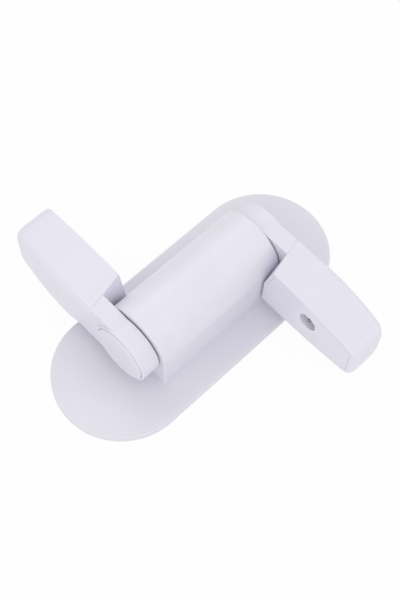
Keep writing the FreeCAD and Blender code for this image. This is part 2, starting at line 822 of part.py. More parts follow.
def make_spring(side, turned):
    """The button's spring: one wire helix between the well's floor and the underside of the button."""
    length = "(button_outer - button_face - well_floor - 2 * spring_wire - 0.2)"
    helix = DOCUMENT.addObject("Part::Helix", side + "_spring_path")
    bind(helix, "Radius", "spring_radius")
    bind(helix, "Height", length)
    bind(helix, "Pitch", length + " / spring_turns")
    wire = DOCUMENT.addObject("Part::Circle", side + "_spring_wire")
    bind(wire, "Radius", "spring_wire")
    bind(wire, ".Placement.Base.x", "spring_radius")
    wire.Placement.Rotation = FreeCAD.Rotation(FreeCAD.Vector(1, 0, 0), 90)
    DOCUMENT.recompute()
    spring = DOCUMENT.addObject("Part::Sweep", side + "_button_spring")
    spring.Label = side + "_button_spring"
    spring.Sections = [wire]
    spring.Spine = (helix, [])
    spring.Solid = True
    spring.Frenet = True
    sign = -1.0 if turned else 1.0
    start = sign * value("well_floor + spring_wire + 0.1")
    spring.Placement = FreeCAD.Placement(
        FreeCAD.Vector(start, 0, value("axis_height")),
        FreeCAD.Rotation(FreeCAD.Vector(0, 1, 0), sign * 90),
    )
    bind(spring, ".Placement.Base.x", "%d * (well_floor + spring_wire + 0.1)" % sign)
    bind(spring, ".Placement.Base.z", "axis_height")
    return spring


def make_clip(label, turned, inner_face, thick, inner, outer):
    """A flat retaining clip: a ring with a mouth at its foot."""
    body = Body(label, turned)
    ring = body.sketch("YZ", inner_face)
    ring.circle("0", "axis_height", outer)
    ring.circle("0", "axis_height", inner)
    body.pad(ring, thick)
    mouth = body.sketch("YZ", "%s + %s" % (inner_face, thick))
    mouth.rectangle(
        ("-clip_mouth / 2", "axis_height - %s - 1" % outer), ("clip_mouth / 2", "axis_height - 0.1")
    )
    body.cut(mouth, thick)
    return body.finish()


def make_lock_ring(side, turned):
    body = Body(side + "_lock_ring", turned)
    disc = body.sketch("YZ", "ring_inner")
    disc.circle("0", "axis_height", "ring_radius")
    body.pad(disc, "ring_thick")
    bore = body.sketch("YZ", "ring_outer")
    keyed_bore(bore)
    body.cut(bore, "ring_thick")
    # four notches in the inner face, a quarter turn apart
    reach = "(ring_radius + 1)"
    half = "(notch_width / 2)"
    for turn_y, turn_z in ((0, 1), (0, -1), (1, 0), (-1, 0)):
        notch = body.sketch("YZ", "ring_inner")
        if turn_y == 0:
            ends = ["axis_height + %d * notch_floor" % turn_z, "axis_height + %d * %s" % (turn_z, reach)]
            ends.sort(key=value)
            notch.rectangle(("-" + half, ends[0]), (half, ends[1]))
        else:
            ends = ["%d * notch_floor" % turn_y, "%d * %s" % (turn_y, reach)]
            ends.sort(key=value)
            notch.rectangle((ends[0], "axis_height - " + half), (ends[1], "axis_height + " + half))
        body.cut(notch, "notch_depth", along=True)
    return body.finish()


def keyed_bore(drawing):
    """A round bore with one flat, larger than the journal's keyed stretch by the key's clearance."""
    radius = value("journal_radius + key_gap")
    flat = value("key_flat + key_gap")
    centre = value("axis_height")
    reach = math.sqrt(radius**2 - flat**2)
    start = math.degrees(math.atan2(flat, reach))
    arc = drawing.arc((0, centre), radius, 180 - start, 360 + start)
    chord = drawing.line((reach, centre + flat), (-reach, centre + flat))
    drawing.join(arc, 2, chord, 1)
    drawing.join(chord, 2, arc, 1)
    drawing.place(arc, 3, "0", "axis_height")
    drawing.fix("Radius", (arc,), "journal_radius + key_gap")
    drawing.fix("DistanceY", (-1, 1, chord, 1), "axis_height + key_flat + key_gap")
    drawing.fix("DistanceY", (-1, 1, chord, 2), "axis_height + key_flat + key_gap")


def make_leaf(side, turned):
    """The spring leaf: a foot, an upright that the button's stem bends, and a tooth at the top."""
    body = Body(side + "_latch_leaf", turned)
    profile = body.sketch("XZ", "-leaf_width / 2")
    top = "(tooth_under + leaf_thick)"
    profile.polygon(
        [
            ("leaf_foot", "leaf_seat"),
            ("leaf_face", "leaf_seat"),
            ("leaf_face", "tooth_under"),
            ("tooth_tip", "tooth_under"),
            ("tooth_tip", top),
            ("leaf_face - leaf_thick", top),
            ("leaf_face - leaf_thick", "leaf_seat + leaf_thick"),
            ("leaf_foot", "leaf_seat + leaf_thick"),
        ]
    )
    body.pad(profile, "leaf_width")
    for sign in ("", "-"):
        trim = body.sketch("XY", top + " + 1")
        ends = [sign + "tooth_width / 2", sign + "(leaf_width / 2 + 1)"]
        ends.sort(key=value)
        trim.rectangle(("leaf_face", ends[0]), ("tooth_tip + 1", ends[1]))
        body.cut(trim, "leaf_thick + 2")
    hole = body.sketch("XY", "leaf_seat + leaf_thick")
    hole.circle("leaf_screw_x", "0", "leaf_screw_radius + screw_hole_gap")
    body.cut(hole, "leaf_thick")
    return body.finish()


def make_leaf_screw(side, turned):
    body = Body(side + "_leaf_screw", turned)
    seat = "leaf_seat + leaf_thick"
    head = body.sketch("XY", seat)
    head.circle("leaf_screw_x", "0", "leaf_screw_head_radius")
    body.pad(head, "leaf_screw_head_height")
    top = value(seat + " + leaf_screw_head_height")
    body.round("leaf_screw_head_height * 0.5", lambda edge: on_plane(edge, "z", top))
    shank = body.sketch("XY", "leaf_seat - leaf_screw_bite")
    shank.circle("leaf_screw_x", "0", "leaf_screw_radius")
    body.pad(shank, "leaf_screw_bite + leaf_thick")
    recess = body.sketch("XY", seat + " + leaf_screw_head_height")
    cross(recess, "leaf_screw_x", "0", "leaf_screw_head_radius * 0.55", "0.5")
    body.cut(recess, "0.7")
    return body.finish()


# ---- the assembly --------------------------------------------------------------------------------------


def make_side(side, turned):
    """Every piece of one arm and of its latch."""
    return [
        make_arm_shell(side, turned),
        make_arm_cover(side, turned),
        make_cover_screw(side, turned),
        make_button(side, turned),
        make_spring(side, turned),
        make_clip(
            side + "_button_clip",
            turned,
            "stem_clip_inner",
            "stem_clip_thick",
            "(stem_radius - stem_groove_depth + clip_gap)",
            "stem_clip_radius",
        ),
        make_lock_ring(side, turned),
        make_clip(
            side + "_retaining_clip",
            turned,
            "journal_clip_inner",
            "journal_clip_thick",
            "(journal_radius - journal_groove_depth + clip_gap)",
            "journal_clip_radius",
        ),
        make_leaf(side, turned),
        make_leaf_screw(side, turned),
    ]


def check_document():
    """Stops if any object failed to compute."""
    for thing in DOCUMENT.Objects:
        if "Invalid" in thing.State or "Error" in thing.State:
            raise RuntimeError("failed object: %s" % thing.Name)


def main():
    nodes = [make_pad(), make_plate(), make_housing(), make_base_screws()]
    nodes += make_side("right", turned=False)
    nodes += make_side("left", turned=True)
    DOCUMENT.recompute()
    check_document()
    os.makedirs("parts", exist_ok=True)
    for node in nodes:
        shape = node.Shape
        if shape.isNull() or not shape.isValid() or not shape.Solids:
            raise RuntimeError("bad shape: " + node.Label)
    for node in nodes:
        node.Shape.exportStep("parts/%s.step" % node.Label)
        print("%-24s solids %d  volume %.1f" % (node.Label, len(node.Shape.Solids), node.Shape.Volume))


main()
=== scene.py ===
"""Looks of a stick-on safety latch: plate, housing, two swing arms and their push buttons.

Lengths are metres, +Z is up, and X runs along the housing's barrel. The right arm is at +X and points
along -Y. The left arm is the same arm turned half a turn about Z, so each arm piece is modelled once, on
the right, and copied.
"""

import logging
import math
from dataclasses import dataclass, field
from enum import Enum
from typing import Callable

import bmesh
import bpy
from mathutils import Matrix, Vector


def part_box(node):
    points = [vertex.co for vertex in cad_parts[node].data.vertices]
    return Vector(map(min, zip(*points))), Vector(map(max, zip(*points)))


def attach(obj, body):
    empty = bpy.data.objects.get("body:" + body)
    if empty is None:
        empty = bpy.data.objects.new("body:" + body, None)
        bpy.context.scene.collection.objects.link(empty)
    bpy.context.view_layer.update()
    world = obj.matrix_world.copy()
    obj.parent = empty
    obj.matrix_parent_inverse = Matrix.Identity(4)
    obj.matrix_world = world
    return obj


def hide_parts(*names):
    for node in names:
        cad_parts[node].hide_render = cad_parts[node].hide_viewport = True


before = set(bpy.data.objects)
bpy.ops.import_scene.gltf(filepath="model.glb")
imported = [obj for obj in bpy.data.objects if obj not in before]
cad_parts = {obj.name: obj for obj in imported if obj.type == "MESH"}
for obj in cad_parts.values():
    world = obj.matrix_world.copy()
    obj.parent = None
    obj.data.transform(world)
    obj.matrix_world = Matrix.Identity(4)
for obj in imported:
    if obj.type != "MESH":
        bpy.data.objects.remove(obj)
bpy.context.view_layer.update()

LOG = logging.getLogger("latch")
MM = 0.001
SLACK = 0.01 * MM
HAIR = 0.002 * MM
Piece = bpy.types.Object


class Kind(Enum):
    """What a selection is made of."""

    VERTEX = "VERT"
    EDGE = "EDGE"
    FACE = "FACE"


class Join(Enum):
    """How one solid is worked into another."""

    ADD = "UNION"
    CUT = "DIFFERENCE"


class Axis(Enum):
    """The direction that a rod runs in."""

    X = (0.0, math.pi / 2, 0.0)
    Z = (0.0, 0.0, 0.0)


class Side(Enum):
    """Which of the two arms a piece belongs to."""

    RIGHT = "right"
    LEFT = "left"


# ---- the bench: small moves on meshes ------------------------------------------------------------------


def clear_selection() -> None:
    """Leaves nothing selected, in object mode."""
    if bpy.context.mode != "OBJECT":
        bpy.ops.object.mode_set(mode="OBJECT")
    bpy.ops.object.select_all(action="DESELECT")


def pick(piece: Piece) -> None:
    """Makes a piece the active one and the only one selected.

    Args:
        piece: The piece to work on.
    """
    clear_selection()
    piece.select_set(True)
    bpy.context.view_layer.objects.active = piece


def edit(piece: Piece) -> None:
    """Opens a piece in edit mode.

    Args:
        piece: The piece to open.
    """
    pick(piece)
    bpy.ops.object.mode_set(mode="EDIT")


def leave() -> None:
    """Goes back to object mode."""
    bpy.ops.object.mode_set(mode="OBJECT")


def choose(piece: Piece, kind: Kind, test: Callable[..., bool]) -> None:
    """Selects the vertices, edges or faces of the open piece that pass a test, and nothing else.

    Args:
        piece: The piece that is open in edit mode.
        kind: What is selected.
        test: Takes one element and says whether it is wanted.
    """
    bpy.ops.mesh.select_mode(type=kind.value)
    bpy.ops.mesh.select_all(action="DESELECT")
    mesh = bmesh.from_edit_mesh(piece.data)
    mesh.normal_update()
    elements = {Kind.VERTEX: mesh.verts, Kind.EDGE: mesh.edges, Kind.FACE: mesh.faces}[kind]
    found = [element for element in elements if test(element)]
    if not found:
        raise RuntimeError(f"nothing to choose on {piece.name}")
    for element in found:
        element.select_set(True)
    mesh.select_flush_mode()
    bmesh.update_edit_mesh(piece.data)


def settle(piece: Piece, name: str) -> Piece:
    """Names a new piece and puts its place, turn and scale into its mesh.

    Args:
        piece: The new piece.
        name: Its name.

    Returns:
        The same piece.
    """
    pick(piece)
    bpy.ops.object.transform_apply(location=True, rotation=True, scale=True)
    piece.name = name
    piece.data.name = name
    return piece


def block(name: str, low: Vector, high: Vector) -> Piece:
    """Adds a box between two corners.

    Args:
        name: The piece's name.
        low: Its lowest corner.
        high: Its highest corner.

    Returns:
        The box.
    """
    clear_selection()
    bpy.ops.mesh.primitive_cube_add(size=1.0, location=(low + high) / 2)
    piece = bpy.context.active_object
    piece.scale = high - low
    return settle(piece, name)


def rod(name: str, radius: float, centre: Vector, length: float, axis: Axis, sides: int = 96) -> Piece:
    """Adds a round rod.

    Args:
        name: The piece's name.
        radius: Its radius.
        centre: Its middle.
        length: Its length.
        axis: The way it runs.
        sides: How many sides stand for the round.

    Returns:
        The rod.
    """
    clear_selection()
    bpy.ops.mesh.primitive_cylinder_add(
        vertices=sides, radius=radius, depth=length, location=centre, rotation=axis.value
    )
    return settle(bpy.context.active_object, name)


def work_in(piece: Piece, tool: Piece, join: Join) -> None:
    """Adds a second solid to a piece, or cuts it out, and removes the second solid.

    Args:
        piece: The piece that is changed.
        tool: The solid that is worked in.
        join: Whether it is added or cut out.
    """
    pick(piece)
    bpy.ops.object.modifier_add(type="BOOLEAN")
    step = piece.modifiers[-1]
    step.operation = join.value
    step.object = tool
    step.solver = "EXACT"
    bpy.ops.object.modifier_apply(modifier=step.name)
    bpy.data.objects.remove(tool)


def soften(piece: Piece, width: float, segments: int = 2, angle: float = 50.0) -> None:
    """Rounds every edge that is sharper than an angle.

    Args:
        piece: The piece.
        width: How far the round reaches from the edge.
        segments: How many steps the round has.
        angle: The least angle, in degrees, between the two faces of an edge that is rounded.
    """
    pick(piece)
    bpy.ops.object.modifier_add(type="BEVEL")
    step = piece.modifiers[-1]
    step.width = width
    step.segments = segments
    step.limit_method = "ANGLE"
    step.angle_limit = math.radians(angle)
    bpy.ops.object.modifier_apply(modifier=step.name)


def polish(piece: Piece, angle: float = 32.0) -> None:
    """Closes doubled points and shades a piece smoothly, with flats kept flat beside their rounds.

    Args:
        piece: The piece.
        angle: Edges sharper than this, in degrees, stay crisp.
    """
    edit(piece)
    bpy.ops.mesh.select_all(action="SELECT")
    bpy.ops.mesh.remove_doubles(threshold=HAIR)
    leave()
    bpy.ops.object.shade_smooth_by_angle(angle=math.radians(angle))
    bpy.ops.object.modifier_add(type="WEIGHTED_NORMAL")
    step = piece.modifiers[-1]
    step.keep_sharp = True
    step.weight = 80
    bpy.ops.object.modifier_apply(modifier=step.name)


def half_turn_copy(piece: Piece, name: str) -> Piece:
    """Copies a piece of the right arm to the left one, with a mesh of its own.

    Args:
        piece: The right arm's piece.
        name: The copy's name.

    Returns:
        The copy, turned half a turn about Z.
    """
    pick(piece)
    bpy.ops.object.duplicate(linked=False)
    copy = bpy.context.active_object
    copy.rotation_euler.z = math.pi
    return settle(copy, name)


def rim_round(piece: Piece, width: float, segments: int, test: Callable[..., bool]) -> None:
    """Rounds chosen edges of a piece.

    Args:
        piece: The piece.
        width: How far the round reaches from the edge.
        segments: How many steps the round has.
        test: Takes one edge and says whether it is rounded.
    """
    edit(piece)
    choose(piece, Kind.EDGE, test)
    bpy.ops.mesh.bevel(offset=width, segments=segments, affect="EDGES", clamp_overlap=True)
    leave()


def level(edge: bmesh.types.BMEdge, axis: int, place: float, slack: float = SLACK) -> bool:
    """Says whether an edge lies wholly at one place along an axis.

    Args:
        edge: The edge.
        axis: 0, 1 or 2 for X, Y or Z.
        place: The place along that axis.
        slack: How far off it may be.

    Returns:
        True where both ends are there.
    """
    return all(abs(vertex.co[axis] - place) < slack for vertex in edge.verts)


def draw_out(piece: Piece, steps: list[tuple[float, float]], radius: float, centre: Vector) -> None:
    """Draws the selected end face of an open rod along X in steps, like a turned bar.

    Args:
        piece: Not used. The piece that is open in edit mode, with the end face selected, is the one worked
            on.
        steps: Pairs of an advance along X and the radius there.
        radius: The radius that the face has now.
        centre: A point on the rod's axis.
    """
    place = centre.copy()
    for advance, wanted in steps:
        bpy.ops.mesh.extrude_region_move(TRANSFORM_OT_translate={"value": (advance, 0, 0)})
        place.x += advance
        share = wanted / radius
        bpy.ops.transform.resize(value=(1, share, share), center_override=place)
        radius = wanted


def stadium(name: str, low: Vector, high: Vector, segments: int = 48) -> Piece:
    """Adds a flat plate with half-round ends.

    Args:
        name: The plate's name.
        low: Its lowest corner.
        high: Its highest corner.
        segments: How many steps each quarter of an end has.

    Returns:
        The plate.
    """
    piece = block(name, low, high)
    edit(piece)
    choose(piece, Kind.EDGE, lambda edge: abs(edge.verts[0].co.z - edge.verts[1].co.z) > MM / 10)
    radius = (high.y - low.y) / 2
    bpy.ops.mesh.bevel(offset=radius - HAIR / 2, segments=segments, affect="EDGES")
    bpy.ops.mesh.select_all(action="SELECT")
    bpy.ops.mesh.remove_doubles(threshold=SLACK)
    leave()
    return piece


# ---- finishes ------------------------------------------------------------------------------------------

Colour = tuple[float, float, float]
Source = bpy.types.NodeSocket | float


def tint(red: int, green: int, blue: int) -> Colour:
    """Turns a colour as a screen shows it, 0 to 255, into the linear colour that a shader takes.

    Args:
        red: Red, 0 to 255.
        green: Green, 0 to 255.
        blue: Blue, 0 to 255.

    Returns:
        The linear colour.
    """
    shares = (channel / 255 for channel in (red, green, blue))
    return tuple(c / 12.92 if c <= 0.04045 else ((c + 0.055) / 1.055) ** 2.4 for c in shares)


def new_group(name: str, takes: dict[str, float], gives: list[str]) -> bpy.types.NodeTree:
    """Makes an empty shader node group whose sockets are all plain values.

    Args:
        name: The group's name.
        takes: Its inputs and their values.
        gives: Its outputs.

    Returns:
        The group, with its input and output nodes named Inlet and Outlet.
    """
    group = bpy.data.node_groups.new(name, "ShaderNodeTree")
    for label, number in takes.items():
        socket = group.interface.new_socket(name=label, in_out="INPUT", socket_type="NodeSocketFloat")
        socket.default_value = number
    for label in gives:
        group.interface.new_socket(name=label, in_out="OUTPUT", socket_type="NodeSocketFloat")
    group.nodes.new("NodeGroupInput").name = "Inlet"
    group.nodes.new("NodeGroupOutput").name = "Outlet"
    return group


def math_node(
    tree: bpy.types.NodeTree, operation: str, first: Source, second: Source
) -> bpy.types.NodeSocket:
    """Adds one sum to a node tree.

    Args:
        tree: The tree.
        operation: The Math node's operation.
        first: A socket or a number.
        second: A socket or a number.

    Returns:
        The socket that holds the answer.
    """
    node = tree.nodes.new("ShaderNodeMath")
    node.operation = operation
    for socket, source in zip(node.inputs, (first, second)):
        if isinstance(source, (int, float)):
            socket.default_value = source
        else:
            tree.links.new(source, socket)
    return node.outputs[0]


def noise_node(
    tree: bpy.types.NodeTree, vector: Source, scale: Source, detail: float, rough: float = 0.5
) -> bpy.types.NodeSocket:
    """Adds a noise to a node tree.

    Args:
        tree: The tree.
        vector: The socket with the coordinates.
        scale: A socket or a number, in bumps to the metre.
        detail: How many finer layers it has.
        rough: How strong the finer layers are.

    Returns:
        The noise's value, near a half on average.
    """
    node = tree.nodes.new("ShaderNodeTexNoise")
    node.inputs["Detail"].default_value = detail
    node.inputs["Roughness"].default_value = rough
    if isinstance(scale, (int, float)):
        node.inputs["Scale"].default_value = scale
    else:
        tree.links.new(scale, node.inputs["Scale"])
    tree.links.new(vector, node.inputs["Vector"])
    return node.outputs["Fac"]


def skin_group() -> bpy.types.NodeTree:
    """Builds the skin of a moulded piece: slow drift of tone, uneven gloss and a fine orange peel.

    Returns:
        The node group.
    """
    takes = {"Grain": 1400.0, "Drift": 1.0, "Roughness": 0.4, "Unevenness": 0.1}
    group = new_group("moulded_skin", takes, ["Tone", "Roughness", "Height"])
    inlet = group.nodes["Inlet"]
    outlet = group.nodes["Outlet"]
    place = group.nodes.new("ShaderNodeTexCoord").outputs["Object"]
    slow = noise_node(group, place, 45.0, 2.0)
    flow = noise_node(group, place, 210.0, 4.0, 0.6)
    peel = noise_node(group, place, inlet.outputs["Grain"], 2.0)
    grit = noise_node(group, place, 9000.0, 2.0, 0.7)
    slow_share = math_node(group, "MULTIPLY", slow, 0.65)
    flow_share = math_node(group, "MULTIPLY", flow, 0.35)
    drift = math_node(group, "ADD", slow_share, flow_share)
    centred = math_node(group, "SUBTRACT", drift, 0.5)
    spread = math_node(group, "MULTIPLY", centred, inlet.outputs["Drift"])
    group.links.new(math_node(group, "ADD", spread, 0.5), outlet.inputs["Tone"])
    wander = math_node(group, "SUBTRACT", flow, 0.5)
    uneven = math_node(group, "MULTIPLY", wander, inlet.outputs["Unevenness"])
    roughness = math_node(group, "ADD", inlet.outputs["Roughness"], uneven)
    group.links.new(roughness, outlet.inputs["Roughness"])
    peel_share = math_node(group, "MULTIPLY", peel, 0.75)
    grit_share = math_node(group, "MULTIPLY", grit, 0.25)
    relief = math_node(group, "ADD", peel_share, grit_share)
    group.links.new(relief, outlet.inputs["Height"])
    return group


def scuff_group() -> bpy.types.NodeTree:
    """Builds fine handling marks: sparse hairlines in two directions, as a mask from 0 to 1.

    Returns:
        The node group.
    """
    group = new_group("handling_marks", {"Length": 60.0, "Amount": 0.5}, ["Mask"])
    inlet = group.nodes["Inlet"]
    place = group.nodes.new("ShaderNodeTexCoord").outputs["Object"]
    masks = []
    for turn, stretch in ((0.4, (1.0, 22.0, 5.0)), (-0.9, (19.0, 1.0, 4.0))):
        mapping = group.nodes.new("ShaderNodeMapping")
        mapping.inputs["Rotation"].default_value = (turn / 2, turn / 3, turn)
        mapping.inputs["Scale"].default_value = stretch
        group.links.new(place, mapping.inputs["Vector"])
        lines = noise_node(group, mapping.outputs["Vector"], inlet.outputs["Length"], 3.0, 0.7)
        ramp = group.nodes.new("ShaderNodeMapRange")
        ramp.inputs["From Min"].default_value = 0.66
        ramp.inputs["From Max"].default_value = 0.74
        group.links.new(lines, ramp.inputs["Value"])
        masks.append(ramp.outputs["Result"])
    both = math_node(group, "MAXIMUM", masks[0], masks[1])
    amount = math_node(group, "MULTIPLY", both, inlet.outputs["Amount"])
    group.links.new(amount, group.nodes["Outlet"].inputs["Mask"])
    return group


def place_group(tree: bpy.types.NodeTree, group: str, values: dict[str, float]) -> bpy.types.Node:
    """Puts a node group into a material with values of its own.

    Args:
        tree: The material's node tree.
        group: The group's name.
        values: The group's inputs.

    Returns:
        The group's node.
    """
    node = tree.nodes.new("ShaderNodeGroup")
    node.node_tree = bpy.data.node_groups[group]
    for label, number in values.items():
        node.inputs[label].default_value = number
    return node


def new_material(name: str) -> tuple[bpy.types.Material, bpy.types.NodeTree, bpy.types.Node]:
    """Makes a material with a Principled shader.

    Args:
        name: The material's name.

    Returns:
        The material, its node tree and its shader node.
    """
    material = bpy.data.materials.new(name)
    material.use_nodes = True
    return material, material.node_tree, material.node_tree.nodes["Principled BSDF"]


def blend_colours(
    tree: bpy.types.NodeTree, share: bpy.types.NodeSocket, first: Colour, second: Colour
) -> bpy.types.NodeSocket:
    """Mixes two colours by a mask.

    Args:
        tree: The material's node tree.
        share: The socket with the mask.
        first: The colour where the mask is 0.
        second: The colour where the mask is 1.

    Returns:
        The mixed colour.
    """
    mix = tree.nodes.new("ShaderNodeMix")
    mix.data_type = "RGBA"
    mix.inputs[6].default_value = (*first, 1)
    mix.inputs[7].default_value = (*second, 1)
    tree.links.new(share, mix.inputs[0])
    return mix.outputs[2]


def add_relief(
    tree: bpy.types.NodeTree, shader: bpy.types.Node, height: bpy.types.NodeSocket, distance: float
) -> None:
    """Bumps a shader's surface.

    Args:
        tree: The material's node tree.
        shader: The shader node.
        height: The socket with the height, 0 to 1.
        distance: How deep a height of 1 is.
    """
    bump = tree.nodes.new("ShaderNodeBump")
    bump.inputs["Distance"].default_value = distance
    tree.links.new(height, bump.inputs["Height"])
    tree.links.new(bump.outputs["Normal"], shader.inputs["Normal"])


@dataclass(frozen=True)
class MouldedPlastic:
    """A pigmented plastic as it leaves a polished mould."""

    name: str
    light: Colour
    dark: Colour
    roughness: float
    grain: float = 1400.0
    relief: float = 0.004 * MM
    drift: float = 1.6
    unevenness: float = 0.14
    scuffs: float = 0.35
    glow: float = 0.12

    def material(self) -> bpy.types.Material:
        """Builds the material.

        Returns:
            The material.
        """
        material, tree, shader = new_material(self.name)
        skin = place_group(
            tree,
            "moulded_skin",
            {
                "Grain": self.grain,
                "Drift": self.drift,
                "Roughness": self.roughness,
                "Unevenness": self.unevenness,
            },
        )
        marks = place_group(tree, "handling_marks", {"Amount": self.scuffs})
        tree.links.new(
            blend_colours(tree, skin.outputs["Tone"], self.dark, self.light), shader.inputs["Base Color"]
        )
        dulled = math_node(tree, "MULTIPLY", marks.outputs["Mask"], 0.18)
        tree.links.new(
            math_node(tree, "ADD", skin.outputs["Roughness"], dulled), shader.inputs["Roughness"]
        )
        worn = math_node(tree, "SUBTRACT", skin.outputs["Height"], marks.outputs["Mask"])
        add_relief(tree, shader, worn, self.relief)
        shader.inputs["IOR"].default_value = 1.5
        shader.inputs["Subsurface Weight"].default_value = self.glow
        shader.inputs["Subsurface Radius"].default_value = (1.0, 0.62, 0.55)
        shader.inputs["Subsurface Scale"].default_value = 1.6 * MM
        return material


@dataclass(frozen=True)
class BareMetal:
    """Steel with a drawn or stamped surface."""

    name: str
    light: Colour
    dark: Colour
    roughness: float
    grain: float = 3500.0
    relief: float = 0.006 * MM

    def material(self) -> bpy.types.Material:
        """Builds the material.

        Returns:
            The material.
        """
        material, tree, shader = new_material(self.name)
        skin = place_group(
            tree,
            "moulded_skin",
            {"Grain": self.grain, "Drift": 2.4, "Roughness": self.roughness, "Unevenness": 0.35},
        )
        marks = place_group(tree, "handling_marks", {"Length": 240.0, "Amount": 0.8})
        tone = math_node(tree, "SUBTRACT", skin.outputs["Tone"], marks.outputs["Mask"])
        tree.links.new(blend_colours(tree, tone, self.dark, self.light), shader.inputs["Base Color"])
        tree.links.new(skin.outputs["Roughness"], shader.inputs["Roughness"])
        add_relief(tree, shader, skin.outputs["Height"], self.relief)
        shader.inputs["Metallic"].default_value = 1.0
        return material


@dataclass(frozen=True)
class FoamTape:
    """The closed-cell foam of the sticky pad: fine round cells in a soft matt body."""

    name: str
    light: Colour
    dark: Colour
    cell: float = 2600.0

    def material(self) -> bpy.types.Material:
        """Builds the material.

        Returns:
            The material.
        """
        material, tree, shader = new_material(self.name)
        place = tree.nodes.new("ShaderNodeTexCoord").outputs["Object"]
        cells = tree.nodes.new("ShaderNodeTexVoronoi")
        cells.inputs["Scale"].default_value = self.cell
        tree.links.new(place, cells.inputs["Vector"])
        skin = place_group(tree, "moulded_skin", {"Drift": 2.0, "Roughness": 0.85, "Unevenness": 0.2})
        tone = math_node(tree, "MULTIPLY", skin.outputs["Tone"], cells.outputs["Distance"])
        tone = math_node(tree, "MULTIPLY", tone, 2.2)
        tree.links.new(blend_colours(tree, tone, self.dark, self.light), shader.inputs["Base Color"])
        tree.links.new(skin.outputs["Roughness"], shader.inputs["Roughness"])
        add_relief(tree, shader, cells.outputs["Distance"], 0.05 * MM)
        return material


class Finish(Enum):
    """The finishes, by the record's material slots."""

    PLATE = MouldedPlastic("plate_plastic", tint(229, 227, 236), tint(224, 222, 231), 0.42)
    HOUSING = MouldedPlastic("housing_plastic", tint(232, 230, 240), tint(227, 225, 235), 0.34)
    ARM = MouldedPlastic("arm_plastic", tint(231, 229, 240), tint(226, 224, 235), 0.40)
    BUTTON = MouldedPlastic("button_plastic", tint(232, 230, 240), tint(227, 225, 235), 0.36)
    RING = MouldedPlastic("ring_plastic", tint(205, 203, 198), tint(192, 190, 184), 0.5, scuffs=0.6)
    FOAM = FoamTape("foam_tape", tint(226, 226, 224), tint(176, 176, 174))
    STEEL = BareMetal("fastener_steel", tint(198, 198, 200), tint(120, 120, 124), 0.26)
    SPRING = BareMetal("spring_steel", tint(180, 178, 176), tint(112, 110, 110), 0.34)


class Paint:
    """The materials, each built once and handed out by finish."""

    def __init__(self) -> None:
        """Builds the shared node groups and every material."""
        skin_group()
        scuff_group()
        self.made = {finish: finish.value.material() for finish in Finish}

    def dress(self, piece: Piece, finish: Finish, body: str, *nodes: str) -> Piece:
        """Gives a modelled piece its finish, its body and the solids that it stands for.

        Args:
            piece: The piece.
            finish: Its finish.
            body: The body that it rides on.
            nodes: The solids that it stands for.

        Returns:
            The same piece.
        """
        piece.data.materials.clear()
        piece.data.materials.append(self.made[finish])
        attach(piece, body)
        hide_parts(*nodes)
        faces = len(piece.data.polygons)
        LOG.info("%s: %d faces on %s", piece.name, faces, body)
        return piece

    def cover(self, node: str, finish: Finish) -> None:
        """Gives a solid that stays as it is its finish.

        Args:
            node: The solid's name.
            finish: Its finish.
        """
        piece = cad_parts[node]
        piece.data.materials.clear()
        piece.data.materials.append(self.made[finish])
        LOG.info("%s: kept, %s", node, finish.value.name)


# ---- plate, pad and housing ----------------------------------------------------------------------------


